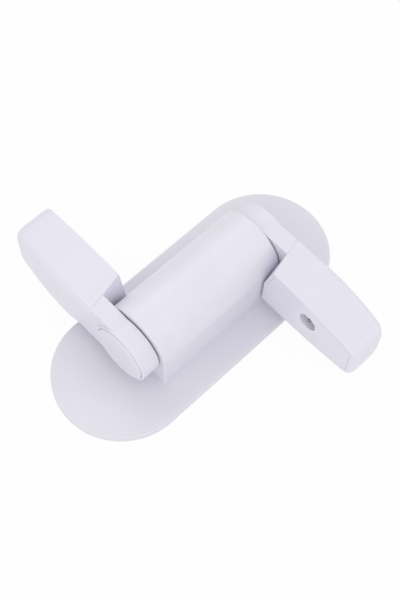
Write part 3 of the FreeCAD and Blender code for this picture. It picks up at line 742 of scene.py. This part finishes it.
@dataclass
class Mounting:
    """The parts that stay on the door: the sticky pad, the plate and the housing."""

    rim: float = 0.7 * MM
    pad_edge: float = 0.08 * MM
    wall: float = 1.8 * MM
    end_wall: float = 2.4 * MM
    end_round: float = 0.5 * MM
    bore: float = 7.05 * MM
    boss_radius: float = 2.7 * MM
    boss_height: float = 7.0 * MM
    screw_hole: float = 1.27 * MM
    screw_gap: float = 0.25 * MM
    head_sink: float = 2.65 * MM
    head_depth: float = 1.2 * MM
    head_gap: float = 0.1 * MM
    hole_length: float = 9.0 * MM
    overlap: float = 1.0 * MM
    post_radius: float = 2.7 * MM

    def screw_places(self) -> list[tuple[float, float]]:
        """Finds the four screws' places from the solid that holds them."""
        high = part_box("housing_screws")[1]
        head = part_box("right_leaf_screw")
        radius = (head[1].x - head[0].x) / 2 + self.head_gap
        return [(x * (high.x - radius), y * (high.y - radius)) for x in (1, -1) for y in (1, -1)]

    def plate(self) -> Piece:
        """Models the plate: half-round ends, a rounded rim, and a post under each latch leaf's foot.

        Returns:
            The plate.
        """
        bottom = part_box("adhesive_pad")[1].z
        low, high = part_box("base_plate")
        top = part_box("housing")[0].z
        piece = stadium("plate", Vector((low.x, low.y, bottom)), Vector((high.x, high.y, top)))
        rim_round(piece, self.rim, 6, lambda edge: level(edge, 2, top))
        rim_round(piece, self.pad_edge, 2, lambda edge: level(edge, 2, bottom))
        for side in Side:
            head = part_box(f"{side.value}_leaf_screw")
            middle = (head[0] + head[1]) / 2
            length = high.z - top + self.overlap
            centre = Vector((middle.x, 0, high.z - length / 2))
            work_in(piece, rod("post", self.post_radius, centre, length, Axis.Z, 48), Join.ADD)
        for x, y in self.screw_places():
            centre = Vector((x, y, (bottom + top) / 2))
            hole = rod("hole", self.screw_hole + self.screw_gap, centre, self.hole_length, Axis.Z, 32)
            work_in(piece, hole, Join.CUT)
            centre = Vector((x, y, bottom))
            work_in(piece, rod("sink", self.head_sink, centre, 2 * self.head_depth, Axis.Z, 32), Join.CUT)
        polish(piece)
        return piece

    def pad(self) -> Piece:
        """Models the foam pad under the plate.

        Returns:
            The pad.
        """
        low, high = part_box("adhesive_pad")
        piece = stadium("pad", low, high)
        rim_round(piece, self.pad_edge, 2, lambda edge: level(edge, 2, high.z) or level(edge, 2, low.z))
        polish(piece)
        return piece

    def arch(self, name: str, reach: float, radius: float, axis: float, foot: float) -> Piece:
        """Models a block with a half-round back along X.

        Args:
            name: The piece's name.
            reach: Half its length.
            radius: The radius of its back, which is half its width.
            axis: The height of the back's axis.
            foot: The height of its underside.

        Returns:
            The block.
        """
        piece = block(name, Vector((-reach, -radius, foot)), Vector((reach, radius, axis + radius)))
        edit(piece)

        def runs_along(edge: bmesh.types.BMEdge) -> bool:
            return level(edge, 2, axis + radius) and not level(edge, 0, edge.verts[0].co.x)

        choose(piece, Kind.EDGE, runs_along)
        bpy.ops.mesh.bevel(offset=radius - HAIR / 2, segments=56, affect="EDGES")
        bpy.ops.mesh.select_all(action="SELECT")
        bpy.ops.mesh.remove_doubles(threshold=SLACK)
        leave()
        return piece

    def housing(self) -> Piece:
        """Models the housing: a hollow round-backed shell with a bored wall at each end.

        Returns:
            The housing.
        """
        low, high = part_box("housing")
        radius = high.y
        axis = high.z - radius
        piece = self.arch("housing_shell", high.x, radius, axis, low.z)
        ends = (low.x, high.x)
        rim_round(
            piece,
            self.end_round,
            5,
            lambda edge: any(level(edge, 0, end) for end in ends) and not level(edge, 2, low.z),
        )
        inside = self.arch("inside", high.x - self.end_wall, radius - self.wall, axis, low.z - MM)
        work_in(piece, inside, Join.CUT)
        centre = Vector((0, 0, axis))
        work_in(piece, rod("bore", self.bore, centre, 2 * high.x + MM, Axis.X), Join.CUT)
        for x, y in self.screw_places():
            centre = Vector((x, y, low.z + self.boss_height / 2))
            work_in(piece, rod("boss", self.boss_radius, centre, self.boss_height, Axis.Z, 48), Join.ADD)
            hole = rod("pilot", self.screw_hole, centre - Vector((0, 0, MM)), self.boss_height, Axis.Z, 32)
            work_in(piece, hole, Join.CUT)
        polish(piece)
        return piece

    def build(self, paint: Paint) -> None:
        """Models and dresses the pieces that stay on the door.

        Args:
            paint: The materials.
        """
        paint.dress(self.pad(), Finish.FOAM, "base", "adhesive_pad")
        paint.dress(self.plate(), Finish.PLATE, "base", "base_plate")
        paint.dress(self.housing(), Finish.HOUSING, "base", "housing")
        paint.cover("housing_screws", Finish.STEEL)


# ---- the arm -------------------------------------------------------------------------------------------


@dataclass
class Arm:
    """A swing arm: its hub and blade in one shell, its cover and the screw that holds the cover."""

    hub_round: float = 0.3 * MM
    hub_gap: float = 0.5 * MM
    hub_base: float = 2.35 * MM
    hub_lap: float = 0.02 * MM
    button_proud: float = 0.7 * MM
    neck_drop: float = 0.65 * MM
    neck_start: float = 20.0 * MM
    neck_end: float = 28.0 * MM
    neck_lead: float = 1.5 * MM
    neck_stations: tuple[float, ...] = (1.0 * MM, 3.2 * MM, 8.0 * MM)
    start_radius: float = 3.0 * MM
    start_drop: float = 0.7 * MM
    station_gap: float = 1.1 * MM
    tip_draw: float = 1.35 * MM
    crown_radius: float = 229.0 * MM
    crown_place: float = 14.7 * MM
    crown_drop: float = 0.15 * MM
    tip_round: float = 5.45 * MM
    outer_corner: float = 5.6 * MM
    inner_corner: float = 2.6 * MM
    inner_start: float = 14.3 * MM
    lean_near: float = 1.2 * MM
    lean_far: float = 3.2 * MM
    lean_fades: float = 30.0 * MM
    splay: float = 1.1 / 35.0
    crisp: float = 0.35 * MM
    corner_lead: float = 0.05 * MM
    soft: float = 2.6 * MM
    lip: float = 0.9 * MM
    seam: float = 0.05 * MM
    blade_wall: float = 1.1 * MM
    outer_wall: float = 2.4 * MM
    cover_thick: float = 1.8 * MM
    cover_round: float = 0.1 * MM
    cup_lap: float = 0.3 * MM
    cutter_length: float = 4.0 * MM
    sink_radius: float = 3.6 * MM
    sink_depth: float = 2.4 * MM
    sink_wall: float = 0.9 * MM
    post_radius: float = 2.7 * MM
    post_lap: float = 0.5 * MM
    pilot_lead: float = 0.2 * MM
    screw_shank: float = 1.2 * MM
    screw_gap: float = 0.25 * MM
    slot_depth: float = 0.8 * MM
    slot_half: float = 0.33 * MM
    recess_gap: float = 0.12 * MM
    well_radius: float = 5.2 * MM
    stem_bore: float = 2.55 * MM
    bore_length: float = 6.0 * MM
    well_base: float = 2.3 * MM
    journal_radius: float = 7.0 * MM
    key_flat: float = 5.9 * MM
    journal_round: float = 0.3 * MM
    groove_depth: float = 0.6 * MM
    journal_end: float = field(init=False)
    axis: float = field(init=False)
    hub_radius: float = field(init=False)
    hub_inner: float = field(init=False)
    hub_outer: float = field(init=False)
    hub_floor: float = field(init=False)
    bulge: float = field(init=False)
    reach: float = field(init=False)
    blade_inner: float = field(init=False)

    def __post_init__(self) -> None:
        """Takes the driving places from the solids of the frame."""
        low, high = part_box("right_arm_shell")
        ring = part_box("right_lock_ring")
        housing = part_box("housing")
        self.journal_end = low.x
        self.axis = (ring[0].z + ring[1].z) / 2
        self.hub_radius = high.y
        self.hub_inner = housing[1].x + self.hub_gap
        self.hub_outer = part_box("right_button")[1].x - self.button_proud
        self.hub_floor = self.hub_inner + self.hub_base
        self.bulge = high.x
        self.reach = -low.y
        self.blade_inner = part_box("right_arm_cover")[0].x

    def half_height(self, run: float) -> float:
        """Gives half the blade's height.

        Args:
            run: How far along the blade, from the barrel's axis.

        Returns:
            The height above the barrel's axis there.
        """
        top = self.hub_radius - self.crown_drop
        begin = self.reach - self.tip_round
        slope = math.asin((begin - self.crown_place) / self.crown_radius)
        tangent = begin + self.tip_round * math.sin(slope)

        def crown(place: float) -> float:
            across = place - self.crown_place
            return top - self.crown_radius + math.sqrt(self.crown_radius**2 - across**2)

        if run <= tangent:
            return crown(run)
        centre = crown(tangent) - self.tip_round * math.cos(slope)
        return centre + math.sqrt(max(0.0, self.tip_round**2 - (run - begin) ** 2))

    def outer_side(self, run: float) -> float:
        """Gives the place along X of the blade's outer side.

        Args:
            run: How far along the blade, from the barrel's axis.

        Returns:
            The place along X.
        """
        neck = self.hub_outer - self.neck_drop
        if run <= self.neck_start:
            return neck
        if run < self.neck_end:
            share = (run - self.neck_start) / (self.neck_end - self.neck_start)
            return neck + (self.bulge - neck) * share * share * (3 - 2 * share)
        begin = self.reach - self.outer_corner
        tip = self.hub_outer - self.tip_draw
        turn = 2 * (self.bulge - tip) / (begin - self.neck_end)
        tangent = begin + self.outer_corner * math.sin(turn)
        centre = tip - self.outer_corner
        drop = self.bulge - centre - self.outer_corner * math.cos(turn)
        span = tangent - self.neck_end
        radius = (span**2 + drop**2) / (2 * drop)
        if run <= tangent:
            return self.bulge - radius + math.sqrt(radius**2 - (run - self.neck_end) ** 2)
        return centre + math.sqrt(max(0.0, self.outer_corner**2 - (run - begin) ** 2))

    def inner_side(self, run: float) -> float:
        """Gives the place along X of the blade's inner side, which splays a little towards the tip.

        Args:
            run: How far along the blade, from the barrel's axis.

        Returns:
            The place along X.
        """
        middle = (self.inner_start + self.reach) / 2
        side = self.blade_inner + (middle - run) * self.splay
        begin = self.reach - self.inner_corner
        if run <= begin:
            return side
        return side + self.inner_corner - math.sqrt(max(0.0, self.inner_corner**2 - (run - begin) ** 2))

    def edge_radius(self, run: float) -> float:
        """Gives the radius between the blade's outer side and its top: crisp at the neck, then soft.

        Args:
            run: How far along the blade, from the barrel's axis.

        Returns:
            The radius.
        """
        begin = self.neck_start - self.neck_lead
        share = min(1.0, max(0.0, (run - begin) / (self.neck_end - begin)))
        wanted = self.crisp + (self.soft - self.crisp) * share * share * (3 - 2 * share)
        return min(wanted, 0.8 * self.half_height(run))

    def stations(self) -> list[float]:
        """Lists the places along the blade where its section is set, closer together where it turns."""
        places = [*self.neck_stations, self.inner_start]
        first = self.inner_start + self.corner_lead
        places += [first + self.crisp * (1 - math.cos(math.radians(turn))) for turn in (0, 30, 60, 90)]
        begin = self.reach - self.outer_corner
        count = int((begin - places[-1]) / self.station_gap)
        places += [places[-1] + (begin - places[-1]) * (index + 1) / count for index in range(count)]
        places += [begin + self.outer_corner * math.sin(math.radians(turn)) for turn in range(7, 91, 6)]
        places.append(self.reach)
        return sorted(set(places))

    def bar(self) -> Piece:
        """Models the bar that becomes neck and blade: one section, drawn out station by station.

        Returns:
            The bar, with every section still the same.
        """
        places = self.stations()
        height = self.hub_radius - self.crown_drop
        outer = self.hub_outer - self.neck_drop
        clear_selection()
        centre = Vector(((self.hub_inner + outer) / 2, -places[0], self.axis))
        bpy.ops.mesh.primitive_plane_add(size=1.0, location=centre, rotation=(math.pi / 2, 0, 0))
        piece = bpy.context.active_object
        piece.scale = (outer - self.hub_inner, 2 * height, 1)
        settle(piece, "blade")
        edit(piece)
        choose(piece, Kind.VERTEX, lambda vertex: vertex.co.x > centre.x)
        bpy.ops.mesh.bevel(offset=self.crisp, segments=7, affect="VERTICES")
        choose(piece, Kind.VERTEX, lambda vertex: vertex.co.x < self.hub_inner + SLACK)
        bpy.ops.mesh.bevel(offset=self.crisp, segments=3, affect="VERTICES")
        choose(piece, Kind.EDGE, lambda edge: level(edge, 0, self.hub_inner))
        bpy.ops.mesh.subdivide(number_cuts=1)
        choose(piece, Kind.FACE, lambda face: True)
        for here, there in zip(places, places[1:]):
            bpy.ops.mesh.extrude_region_move(TRANSFORM_OT_translate={"value": (0, here - there, 0)})
        choose(piece, Kind.FACE, lambda face: True)
        bpy.ops.mesh.normals_make_consistent(inside=False)
        leave()
        return piece

    def shape_bar(self, piece: Piece) -> None:
        """Moves each station's points to the blade's outline, group by group.

        Args:
            piece: The bar.
        """
        height = self.hub_radius - self.crown_drop
        neck = self.hub_outer - self.neck_drop
        middle = (self.hub_inner + neck) / 2
        edit(piece)
        for run in reversed(self.stations()):
            here = -run

            def at_station(vertex: bmesh.types.BMVert) -> bool:
                return abs(vertex.co.y - here) < 2 * HAIR

            # the soft outer corners grow or shrink about their own outermost point
            share = self.edge_radius(run) / self.crisp
            for sign in (1, -1):
                choose(
                    piece,
                    Kind.VERTEX,
                    lambda v: at_station(v) and v.co.x > middle and sign * (v.co.z - self.axis) > 0,
                )
                corner = (neck, here, self.axis + sign * height)
                bpy.ops.transform.resize(value=(share, 1, share), center_override=corner)
            wanted = self.half_height(run)
            if run < self.start_radius:
                wanted = min(wanted, self.hub_radius - self.start_drop)
            self.fit_height(piece, at_station, wanted, self.edge_radius(run), height)
            # the inner points go first: near the tip the outer ones end up short of the middle
            if run > self.inner_start + SLACK:
                self.fit_inner(piece, at_station, run, middle)
            elif run > self.inner_start - SLACK:
                choose(
                    piece,
                    Kind.VERTEX,
                    lambda v: at_station(v) and v.co.x < middle and v.co.z > self.axis + MM,
                )
                bpy.ops.transform.translate(value=(0, -self.lean_near, 0))
            choose(piece, Kind.VERTEX, lambda v: at_station(v) and v.co.x > middle)
            bpy.ops.transform.translate(value=(self.outer_side(run) - neck, 0, 0))
        leave()

    def fit_height(
        self, piece: Piece, at_station: Callable[..., bool], wanted: float, radius: float, height: float
    ) -> None:
        """Brings one station's top and underside to the blade's height, with its corners kept round.

        Args:
            piece: The bar, open in edit mode.
            at_station: Says whether a point is at the station.
            wanted: Half the height there.
            radius: The radius of the outer corners there.
            height: Half the height that the bar was drawn with.
        """
        least = height - max(radius, self.crisp) - SLACK
        for sign in (1, -1):
            choose(piece, Kind.VERTEX, lambda v: at_station(v) and sign * (v.co.z - self.axis) > least)
            bpy.ops.transform.translate(value=(0, 0, sign * (wanted - height)))

    def fit_inner(
        self, piece: Piece, at_station: Callable[..., bool], run: float, middle: float
    ) -> None:
        """Brings one station's inner points out to the blade's inner side, and leans its upper corner.

        Args:
            piece: The bar, open in edit mode.
            at_station: Says whether a point is at the station.
            run: How far along the blade the station is.
            middle: The place along X that parts inner points from outer ones.
        """
        first = self.inner_start + self.corner_lead
        within = self.crisp - (run - first)
        inset = self.crisp - math.sqrt(self.crisp**2 - within**2) if within > 0 else 0.0
        fade = min(1.0, max(0.0, (self.lean_fades - run) / (self.lean_fades - first)))
        lean = self.lean_far * fade
        move = self.inner_side(run) + inset - self.hub_inner

        def on_inner(vertex: bmesh.types.BMVert) -> bool:
            return at_station(vertex) and vertex.co.x < middle

        choose(piece, Kind.VERTEX, on_inner)
        bpy.ops.transform.translate(value=(move, 0, 0))
        choose(piece, Kind.VERTEX, lambda v: on_inner(v) and v.co.z < self.axis - MM)
        bpy.ops.transform.translate(value=(0, 0, inset))
        choose(piece, Kind.VERTEX, lambda v: on_inner(v) and v.co.z > self.axis + MM)
        bpy.ops.transform.translate(value=(-lean * self.splay, -lean, -inset))

    def shell(self) -> tuple[Piece, Piece]:
        """Models the shell, and the plug that becomes its cover.

        Returns:
            The shell and the cover's plug.
        """
        piece = self.bar()
        self.shape_bar(piece)
        depth = self.hub_outer - self.neck_drop - self.outer_wall - self.blade_inner
        cavity = self.plug(piece, "cavity", self.lip + self.blade_wall, MM, depth)
        recess = self.plug(piece, "recess", self.lip, MM, self.cover_thick)
        lid = self.plug(piece, "right_cover", self.lip + self.seam, 0.0, self.cover_thick)
        self.add_hub(piece)
        work_in(piece, recess, Join.CUT)
        work_in(piece, cavity, Join.CUT)
        self.add_journal(piece)
        self.add_post(piece)
        polish(piece)
        piece.name = "right_arm"
        return piece, lid

    def plug(self, blade: Piece, name: str, margin: float, proud: float, depth: float) -> Piece:
        """Models a plug with the outline of the blade's inner side, drawn in by a margin.

        Args:
            blade: The blade, before anything is cut from it.
            name: The plug's name.
            margin: How far inside the blade's outline the plug keeps.
            proud: How far the plug starts outside the blade's inner side.
            depth: How far the plug goes in from the blade's inner side.

        Returns:
            The plug.
        """

        def on_flat(face: bmesh.types.BMFace) -> bool:
            return face.normal.x < -0.99 and face.calc_center_median().x < self.hub_inner - 2 * MM

        pick(blade)
        edit(blade)
        choose(blade, Kind.FACE, on_flat)
        bpy.ops.mesh.duplicate()
        bpy.ops.mesh.separate(type="SELECTED")
        leave()
        piece = next(other for other in bpy.context.selected_objects if other is not blade)
        piece.name = name
        size = Vector(piece.dimensions)
        edit(piece)
        choose(piece, Kind.FACE, lambda face: True)
        places = [vertex.co for vertex in bmesh.from_edit_mesh(piece.data).verts]
        middle = (min(place.y for place in places) + max(place.y for place in places)) / 2
        shares = (1.0, 1 - 2 * margin / size.y, 1 - 2 * margin / size.z)
        bpy.ops.transform.resize(value=shares, center_override=(self.blade_inner, middle, self.axis))
        bpy.ops.transform.translate(value=(-proud, 0, 0))
        bpy.ops.mesh.extrude_region_move(TRANSFORM_OT_translate={"value": (proud + depth, 0, 0)})
        choose(piece, Kind.FACE, lambda face: True)
        bpy.ops.mesh.normals_make_consistent(inside=False)
        leave()
        return piece

    def add_hub(self, piece: Piece) -> None:
        """Adds the hub's disc, and sinks the button's recess into it.

        Args:
            piece: The shell.
        """
        inner = self.hub_inner - self.hub_lap
        centre = Vector(((inner + self.hub_outer) / 2, 0, self.axis))
        disc = rod("hub", self.hub_radius, centre, self.hub_outer - inner, Axis.X, 160)
        faces = (self.hub_outer, inner)
        rim_round(disc, self.hub_round, 4, lambda edge: any(level(edge, 0, face) for face in faces))
        work_in(piece, disc, Join.ADD)
        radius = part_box("right_button")[1].y + self.recess_gap
        depth = self.hub_outer - self.hub_floor
        centre = Vector((self.hub_floor + depth / 2, 0, self.axis))
        recess = rod("recess", radius, centre, depth, Axis.X, 160)
        edit(recess)
        # the recess opens out at its mouth, so that the hub's rim is rounded on its inner side too
        choose(recess, Kind.FACE, lambda face: face.normal.x > 0.9)
        bpy.ops.transform.translate(value=(-self.hub_round, 0, 0))
        choose(recess, Kind.FACE, lambda face: face.normal.x > 0.9)
        lift = self.hub_round
        turns = (0.4, 0.8, 1.2, 1.5)
        flare = [(lift * math.sin(turn), radius + lift * (1 - math.cos(turn))) for turn in turns]
        steps = [(here[0] - before[0], here[1]) for before, here in zip([(0, 0), *flare], flare)]
        draw_out(recess, [*steps, (MM, radius + lift)], radius, Vector((self.hub_outer - lift, 0, self.axis)))
        leave()
        work_in(piece, recess, Join.CUT)

    def add_journal(self, piece: Piece) -> None:
        """Adds the journal that turns in the housing: its clip groove, its key flat and its two bores.

        Args:
            piece: The shell.
        """
        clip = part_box("right_retaining_clip")
        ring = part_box("right_lock_ring")
        start = self.hub_inner + MM
        centre = Vector(((start + clip[1].x) / 2, 0, self.axis))
        journal = rod("journal", self.journal_radius, centre, start - clip[1].x, Axis.X, 96)
        low = Vector((self.journal_end - MM, -self.hub_radius, self.axis + self.key_flat))
        high = Vector((ring[1].x, self.hub_radius, self.axis + self.hub_radius))
        neck = self.journal_radius - self.groove_depth
        edit(journal)
        choose(journal, Kind.FACE, lambda face: face.normal.x < -0.9)
        steps = [
            (-HAIR, neck),
            (clip[0].x - clip[1].x, neck),
            (-HAIR, self.journal_radius),
            (self.journal_end + self.journal_round - clip[0].x, self.journal_radius),
            (-self.journal_round, self.journal_radius - self.journal_round),
        ]
        draw_out(journal, steps, self.journal_radius, Vector((clip[1].x, 0, self.axis)))
        leave()
        work_in(journal, block("flat", low, high), Join.CUT)
        work_in(piece, journal, Join.ADD)
        well_floor = self.journal_end + self.well_base
        length = self.hub_floor + MM - well_floor
        centre = Vector((well_floor + length / 2, 0, self.axis))
        work_in(piece, rod("well", self.well_radius, centre, length, Axis.X, 64), Join.CUT)
        centre = Vector((well_floor, 0, self.axis))
        work_in(piece, rod("stem_bore", self.stem_bore, centre, self.bore_length, Axis.X, 48), Join.CUT)

    def screw_place(self) -> tuple[float, float]:
        """Gives the cover screw's place, across and up."""
        low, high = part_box("right_cover_screw")
        return (low.y + high.y) / 2, (low.z + high.z) / 2

    def add_post(self, piece: Piece) -> None:
        """Adds the post that the cover's screw bites into.

        Args:
            piece: The shell.
        """
        y, z = self.screw_place()
        start = self.blade_inner + self.sink_depth + self.sink_wall
        stop = self.hub_outer - self.neck_drop - self.outer_wall + self.post_lap
        centre = Vector(((start + stop) / 2, y, z))
        work_in(piece, rod("post", self.post_radius, centre, stop - start, Axis.X, 48), Join.ADD)
        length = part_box("right_cover_screw")[1].x - start + self.post_lap
        centre = Vector((start + length / 2 - self.pilot_lead, y, z))
        work_in(piece, rod("pilot", self.screw_shank, centre, length, Axis.X, 32), Join.CUT)

    def cover(self, lid: Piece) -> Piece:
        """Finishes the cover: the sink for its screw goes into the plug.

        Args:
            lid: The plug with the cover's outline.

        Returns:
            The cover.
        """
        y, z = self.screw_place()
        end = self.blade_inner + self.sink_depth + self.sink_wall
        start = self.blade_inner + self.cover_thick - self.cup_lap
        centre = Vector(((start + end) / 2, y, z))
        cup = rod("cup", self.sink_radius + self.sink_wall, centre, end - start, Axis.X, 64)
        work_in(lid, cup, Join.ADD)
        floor = self.blade_inner + self.sink_depth
        centre = Vector((floor - self.cutter_length / 2, y, z))
        sink = rod("sink", self.sink_radius, centre, self.cutter_length, Axis.X, 64)
        work_in(lid, sink, Join.CUT)
        centre = Vector((floor, y, z))
        hole = rod("hole", self.screw_shank + self.screw_gap, centre, self.cutter_length, Axis.X, 32)
        work_in(lid, hole, Join.CUT)
        soften(lid, self.cover_round, 2, 60.0)
        polish(lid)
        return lid

    def screw(self) -> Piece:
        """Models the cover's screw: a domed head with a cross recess, and a threaded shank.

        Returns:
            The screw.
        """
        low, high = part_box("right_cover_screw")
        y, z = self.screw_place()
        radius = (high.y - low.y) / 2
        seat = self.blade_inner + self.sink_depth
        height = seat - low.x
        piece = rod("right_screw", radius, Vector(((low.x + seat) / 2, y, z)), height, Axis.X, 64)
        rim_round(piece, 0.55 * height, 6, lambda edge: level(edge, 0, low.x))
        edit(piece)
        choose(piece, Kind.FACE, lambda face: face.normal.x > 0.9)
        root = 0.78 * self.screw_shank
        turns = 12
        step = (high.x - seat) / (2 * turns + 1)
        thread = [(step, self.screw_shank if index % 2 else root) for index in range(2 * turns)]
        draw_out(piece, [(HAIR / 2, root), *thread, (step, 0.3 * root)], radius, Vector((seat, y, z)))
        leave()
        arm = 0.55 * radius
        half = self.slot_half
        for across, up in ((arm, half), (half, arm)):
            corner = Vector((low.x - MM, y - across, z - up))
            slot = block("slot", corner, Vector((low.x + self.slot_depth, y + across, z + up)))
            edit(slot)
            choose(slot, Kind.FACE, lambda face: face.normal.x > 0.9)
            bpy.ops.transform.resize(value=(1, 0.6, 0.6), center_override=(low.x, y, z))
            leave()
            work_in(piece, slot, Join.CUT)
        polish(piece, 28.0)
        return piece

    def build(self, paint: Paint) -> None:
        """Models the right arm's pieces, copies them to the left and dresses both.

        Args:
            paint: The materials.
        """
        shell, lid = self.shell()
        cover = self.cover(lid)
        screw = self.screw()
        made = [
            (shell, Finish.ARM, "arm_shell"),
            (cover, Finish.ARM, "arm_cover"),
            (screw, Finish.STEEL, "cover_screw"),
        ]
        for piece, finish, node in made:
            other = half_turn_copy(piece, piece.name.replace("right", "left"))
            paint.dress(piece, finish, "right_arm", f"right_{node}")
            paint.dress(other, finish, "left_arm", f"left_{node}")
        for side in Side:
            paint.cover(f"{side.value}_lock_ring", Finish.RING)
            paint.cover(f"{side.value}_retaining_clip", Finish.SPRING)


# ---- button and latch ----------------------------------------------------------------------------------


@dataclass
class PushButton:
    """A thumb button: a cap with a skirt, and a stem that presses the latch leaf."""

    face_round: float = 0.7 * MM
    back_round: float = 0.15 * MM
    skirt: float = 1.5 * MM
    face_thick: float = 1.6 * MM
    height: float = 3.35 * MM
    stem_radius: float = 2.5 * MM
    groove_depth: float = 0.6 * MM
    tip_round: float = 0.4 * MM

    def cap(self) -> Piece:
        """Models the button.

        Returns:
            The button.
        """
        low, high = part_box("right_button")
        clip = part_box("right_button_clip")
        axis = (low.z + high.z) / 2
        radius = high.y
        back = high.x - self.height
        middle = Vector(((back + high.x) / 2, 0, axis))
        piece = rod("right_thumb_button", radius, middle, self.height, Axis.X, 160)
        rim_round(piece, self.face_round, 7, lambda edge: level(edge, 0, high.x))
        rim_round(piece, self.back_round, 2, lambda edge: level(edge, 0, back))
        edit(piece)
        choose(piece, Kind.FACE, lambda face: face.normal.x < -0.99)
        bpy.ops.mesh.inset(thickness=self.skirt)
        inner = radius - self.back_round - self.skirt
        centre = Vector((back, 0, axis))
        rise = self.height - self.face_thick
        draw_out(piece, [(rise, inner)], inner, centre)
        bpy.ops.mesh.inset(thickness=inner - self.stem_radius)
        neck = self.stem_radius - self.groove_depth
        steps = [
            (clip[1].x - back - rise, self.stem_radius),
            (-HAIR, neck),
            (clip[0].x - clip[1].x, neck),
            (-HAIR, self.stem_radius),
            (low.x + self.tip_round - clip[0].x, self.stem_radius),
            (-0.6 * self.tip_round, self.stem_radius - 0.3 * self.tip_round),
            (-0.4 * self.tip_round, self.stem_radius - self.tip_round),
        ]
        draw_out(piece, steps, self.stem_radius, centre + Vector((rise, 0, 0)))
        leave()
        polish(piece)
        return piece

    def build(self, paint: Paint) -> None:
        """Models the right button, copies it to the left, and dresses both with what they press.

        Args:
            paint: The materials.
        """
        cap = self.cap()
        other = half_turn_copy(cap, "left_thumb_button")
        for piece, side in ((cap, Side.RIGHT), (other, Side.LEFT)):
            paint.dress(piece, Finish.BUTTON, f"{side.value}_button", f"{side.value}_button")
            for node in ("button_spring", "button_clip", "latch_leaf"):
                paint.cover(f"{side.value}_{node}", Finish.SPRING)
            paint.cover(f"{side.value}_leaf_screw", Finish.STEEL)


# ---- the studio ----------------------------------------------------------------------------------------


@dataclass
class Lamp:
    """One soft square lamp."""

    name: str
    place: tuple[float, float, float]
    size: float
    power: float


@dataclass
class Studio:
    """The pale floor, the soft lamps and the camera."""

    eye: tuple[float, float, float] = (-0.1190, -0.1137, 0.3359)
    azimuth: float = -46.9
    elevation: float = 63.2
    roll: float = 3.15
    lens: float = 62.1
    sensor: float = 36.0
    floor_size: float = 4.0
    shade: float = 0.05
    sky: float = 0.77
    lamps: tuple[Lamp, ...] = (
        Lamp("key", (0.28, 0.62, 0.85), 0.55, 1.3),
        Lamp("fill", (-0.75, -0.45, 0.7), 0.9, 2.6),
        Lamp("side", (0.7, -0.5, 0.5), 0.7, 1.0),
    )

    def camera(self) -> None:
        """Adds the camera."""
        azimuth, elevation, roll = (math.radians(a) for a in (self.azimuth, self.elevation, self.roll))
        level_part = math.cos(elevation)
        back = Vector(
            (math.sin(azimuth) * level_part, -math.cos(azimuth) * level_part, math.sin(elevation))
        )
        right = Vector((math.cos(azimuth), math.sin(azimuth), 0))
        up = back.cross(right)
        right, up = (
            math.cos(roll) * right + math.sin(roll) * up,
            -math.sin(roll) * right + math.cos(roll) * up,
        )
        data = bpy.data.cameras.new("camera")
        data.lens = self.lens
        data.sensor_width = self.sensor
        data.clip_start = 0.01
        item = bpy.data.objects.new("camera", data)
        turn = Matrix((right, up, back)).transposed()
        item.matrix_world = Matrix.Translation(self.eye) @ turn.to_4x4()
        bpy.context.scene.collection.objects.link(item)
        bpy.context.scene.camera = item

    def light(self) -> None:
        """Adds the lamps and the sky, which the camera and reflections see as plain white."""
        for lamp in self.lamps:
            data = bpy.data.lights.new(lamp.name, "AREA")
            data.size = lamp.size
            data.energy = lamp.power
            item = bpy.data.objects.new(lamp.name, data)
            item.location = lamp.place
            item.rotation_euler = (-Vector(lamp.place)).to_track_quat("-Z", "Y").to_euler()
            bpy.context.scene.collection.objects.link(item)
        world = bpy.data.worlds.new("sky")
        world.use_nodes = True
        bpy.context.scene.world = world
        tree = world.node_tree
        backdrop = tree.nodes["Background"]
        backdrop.inputs["Color"].default_value = (1, 1, 1, 1)
        rays = tree.nodes.new("ShaderNodeLightPath")
        seen = math_node(tree, "MAXIMUM", rays.outputs["Is Camera Ray"], rays.outputs["Is Transmission Ray"])
        seen = math_node(tree, "MAXIMUM", seen, rays.outputs["Is Glossy Ray"])
        strength = math_node(tree, "MULTIPLY", seen, 1 - self.sky)
        tree.links.new(math_node(tree, "ADD", strength, self.sky), backdrop.inputs["Strength"])

    def floor(self) -> None:
        """Adds the floor: white to the camera and to reflections, under a faint soft shadow."""
        clear_selection()
        bpy.ops.mesh.primitive_plane_add(size=self.floor_size, location=(0, 0, -0.02 * MM))
        piece = settle(bpy.context.active_object, "floor")
        material, tree, shader = new_material("floor")
        shader.inputs["Base Color"].default_value = (0.86, 0.86, 0.87, 1)
        shader.inputs["Roughness"].default_value = 0.9
        shader.inputs["Specular IOR Level"].default_value = 0.0
        white = tree.nodes.new("ShaderNodeEmission")
        rays = tree.nodes.new("ShaderNodeLightPath")
        seen = math_node(tree, "MAXIMUM", rays.outputs["Is Camera Ray"], rays.outputs["Is Glossy Ray"])
        seen = math_node(tree, "MAXIMUM", seen, rays.outputs["Is Transmission Ray"])
        mix = tree.nodes.new("ShaderNodeMixShader")
        tree.links.new(math_node(tree, "MULTIPLY", seen, 1 - self.shade), mix.inputs["Fac"])
        tree.links.new(shader.outputs["BSDF"], mix.inputs[1])
        tree.links.new(white.outputs["Emission"], mix.inputs[2])
        tree.links.new(mix.outputs["Shader"], tree.nodes["Material Output"].inputs["Surface"])
        piece.data.materials.append(material)

    def build(self) -> None:
        """Sets the whole studio up."""
        bpy.context.scene.view_settings.view_transform = "Standard"
        self.camera()
        self.light()
        self.floor()


def main() -> None:
    """Builds the studio and every piece, in order."""
    logging.basicConfig(level=logging.INFO, format="%(message)s")
    Studio().build()
    paint = Paint()
    Mounting().build(paint)
    Arm().build(paint)
    PushButton().build(paint)


if __name__ == "__main__":
    main()
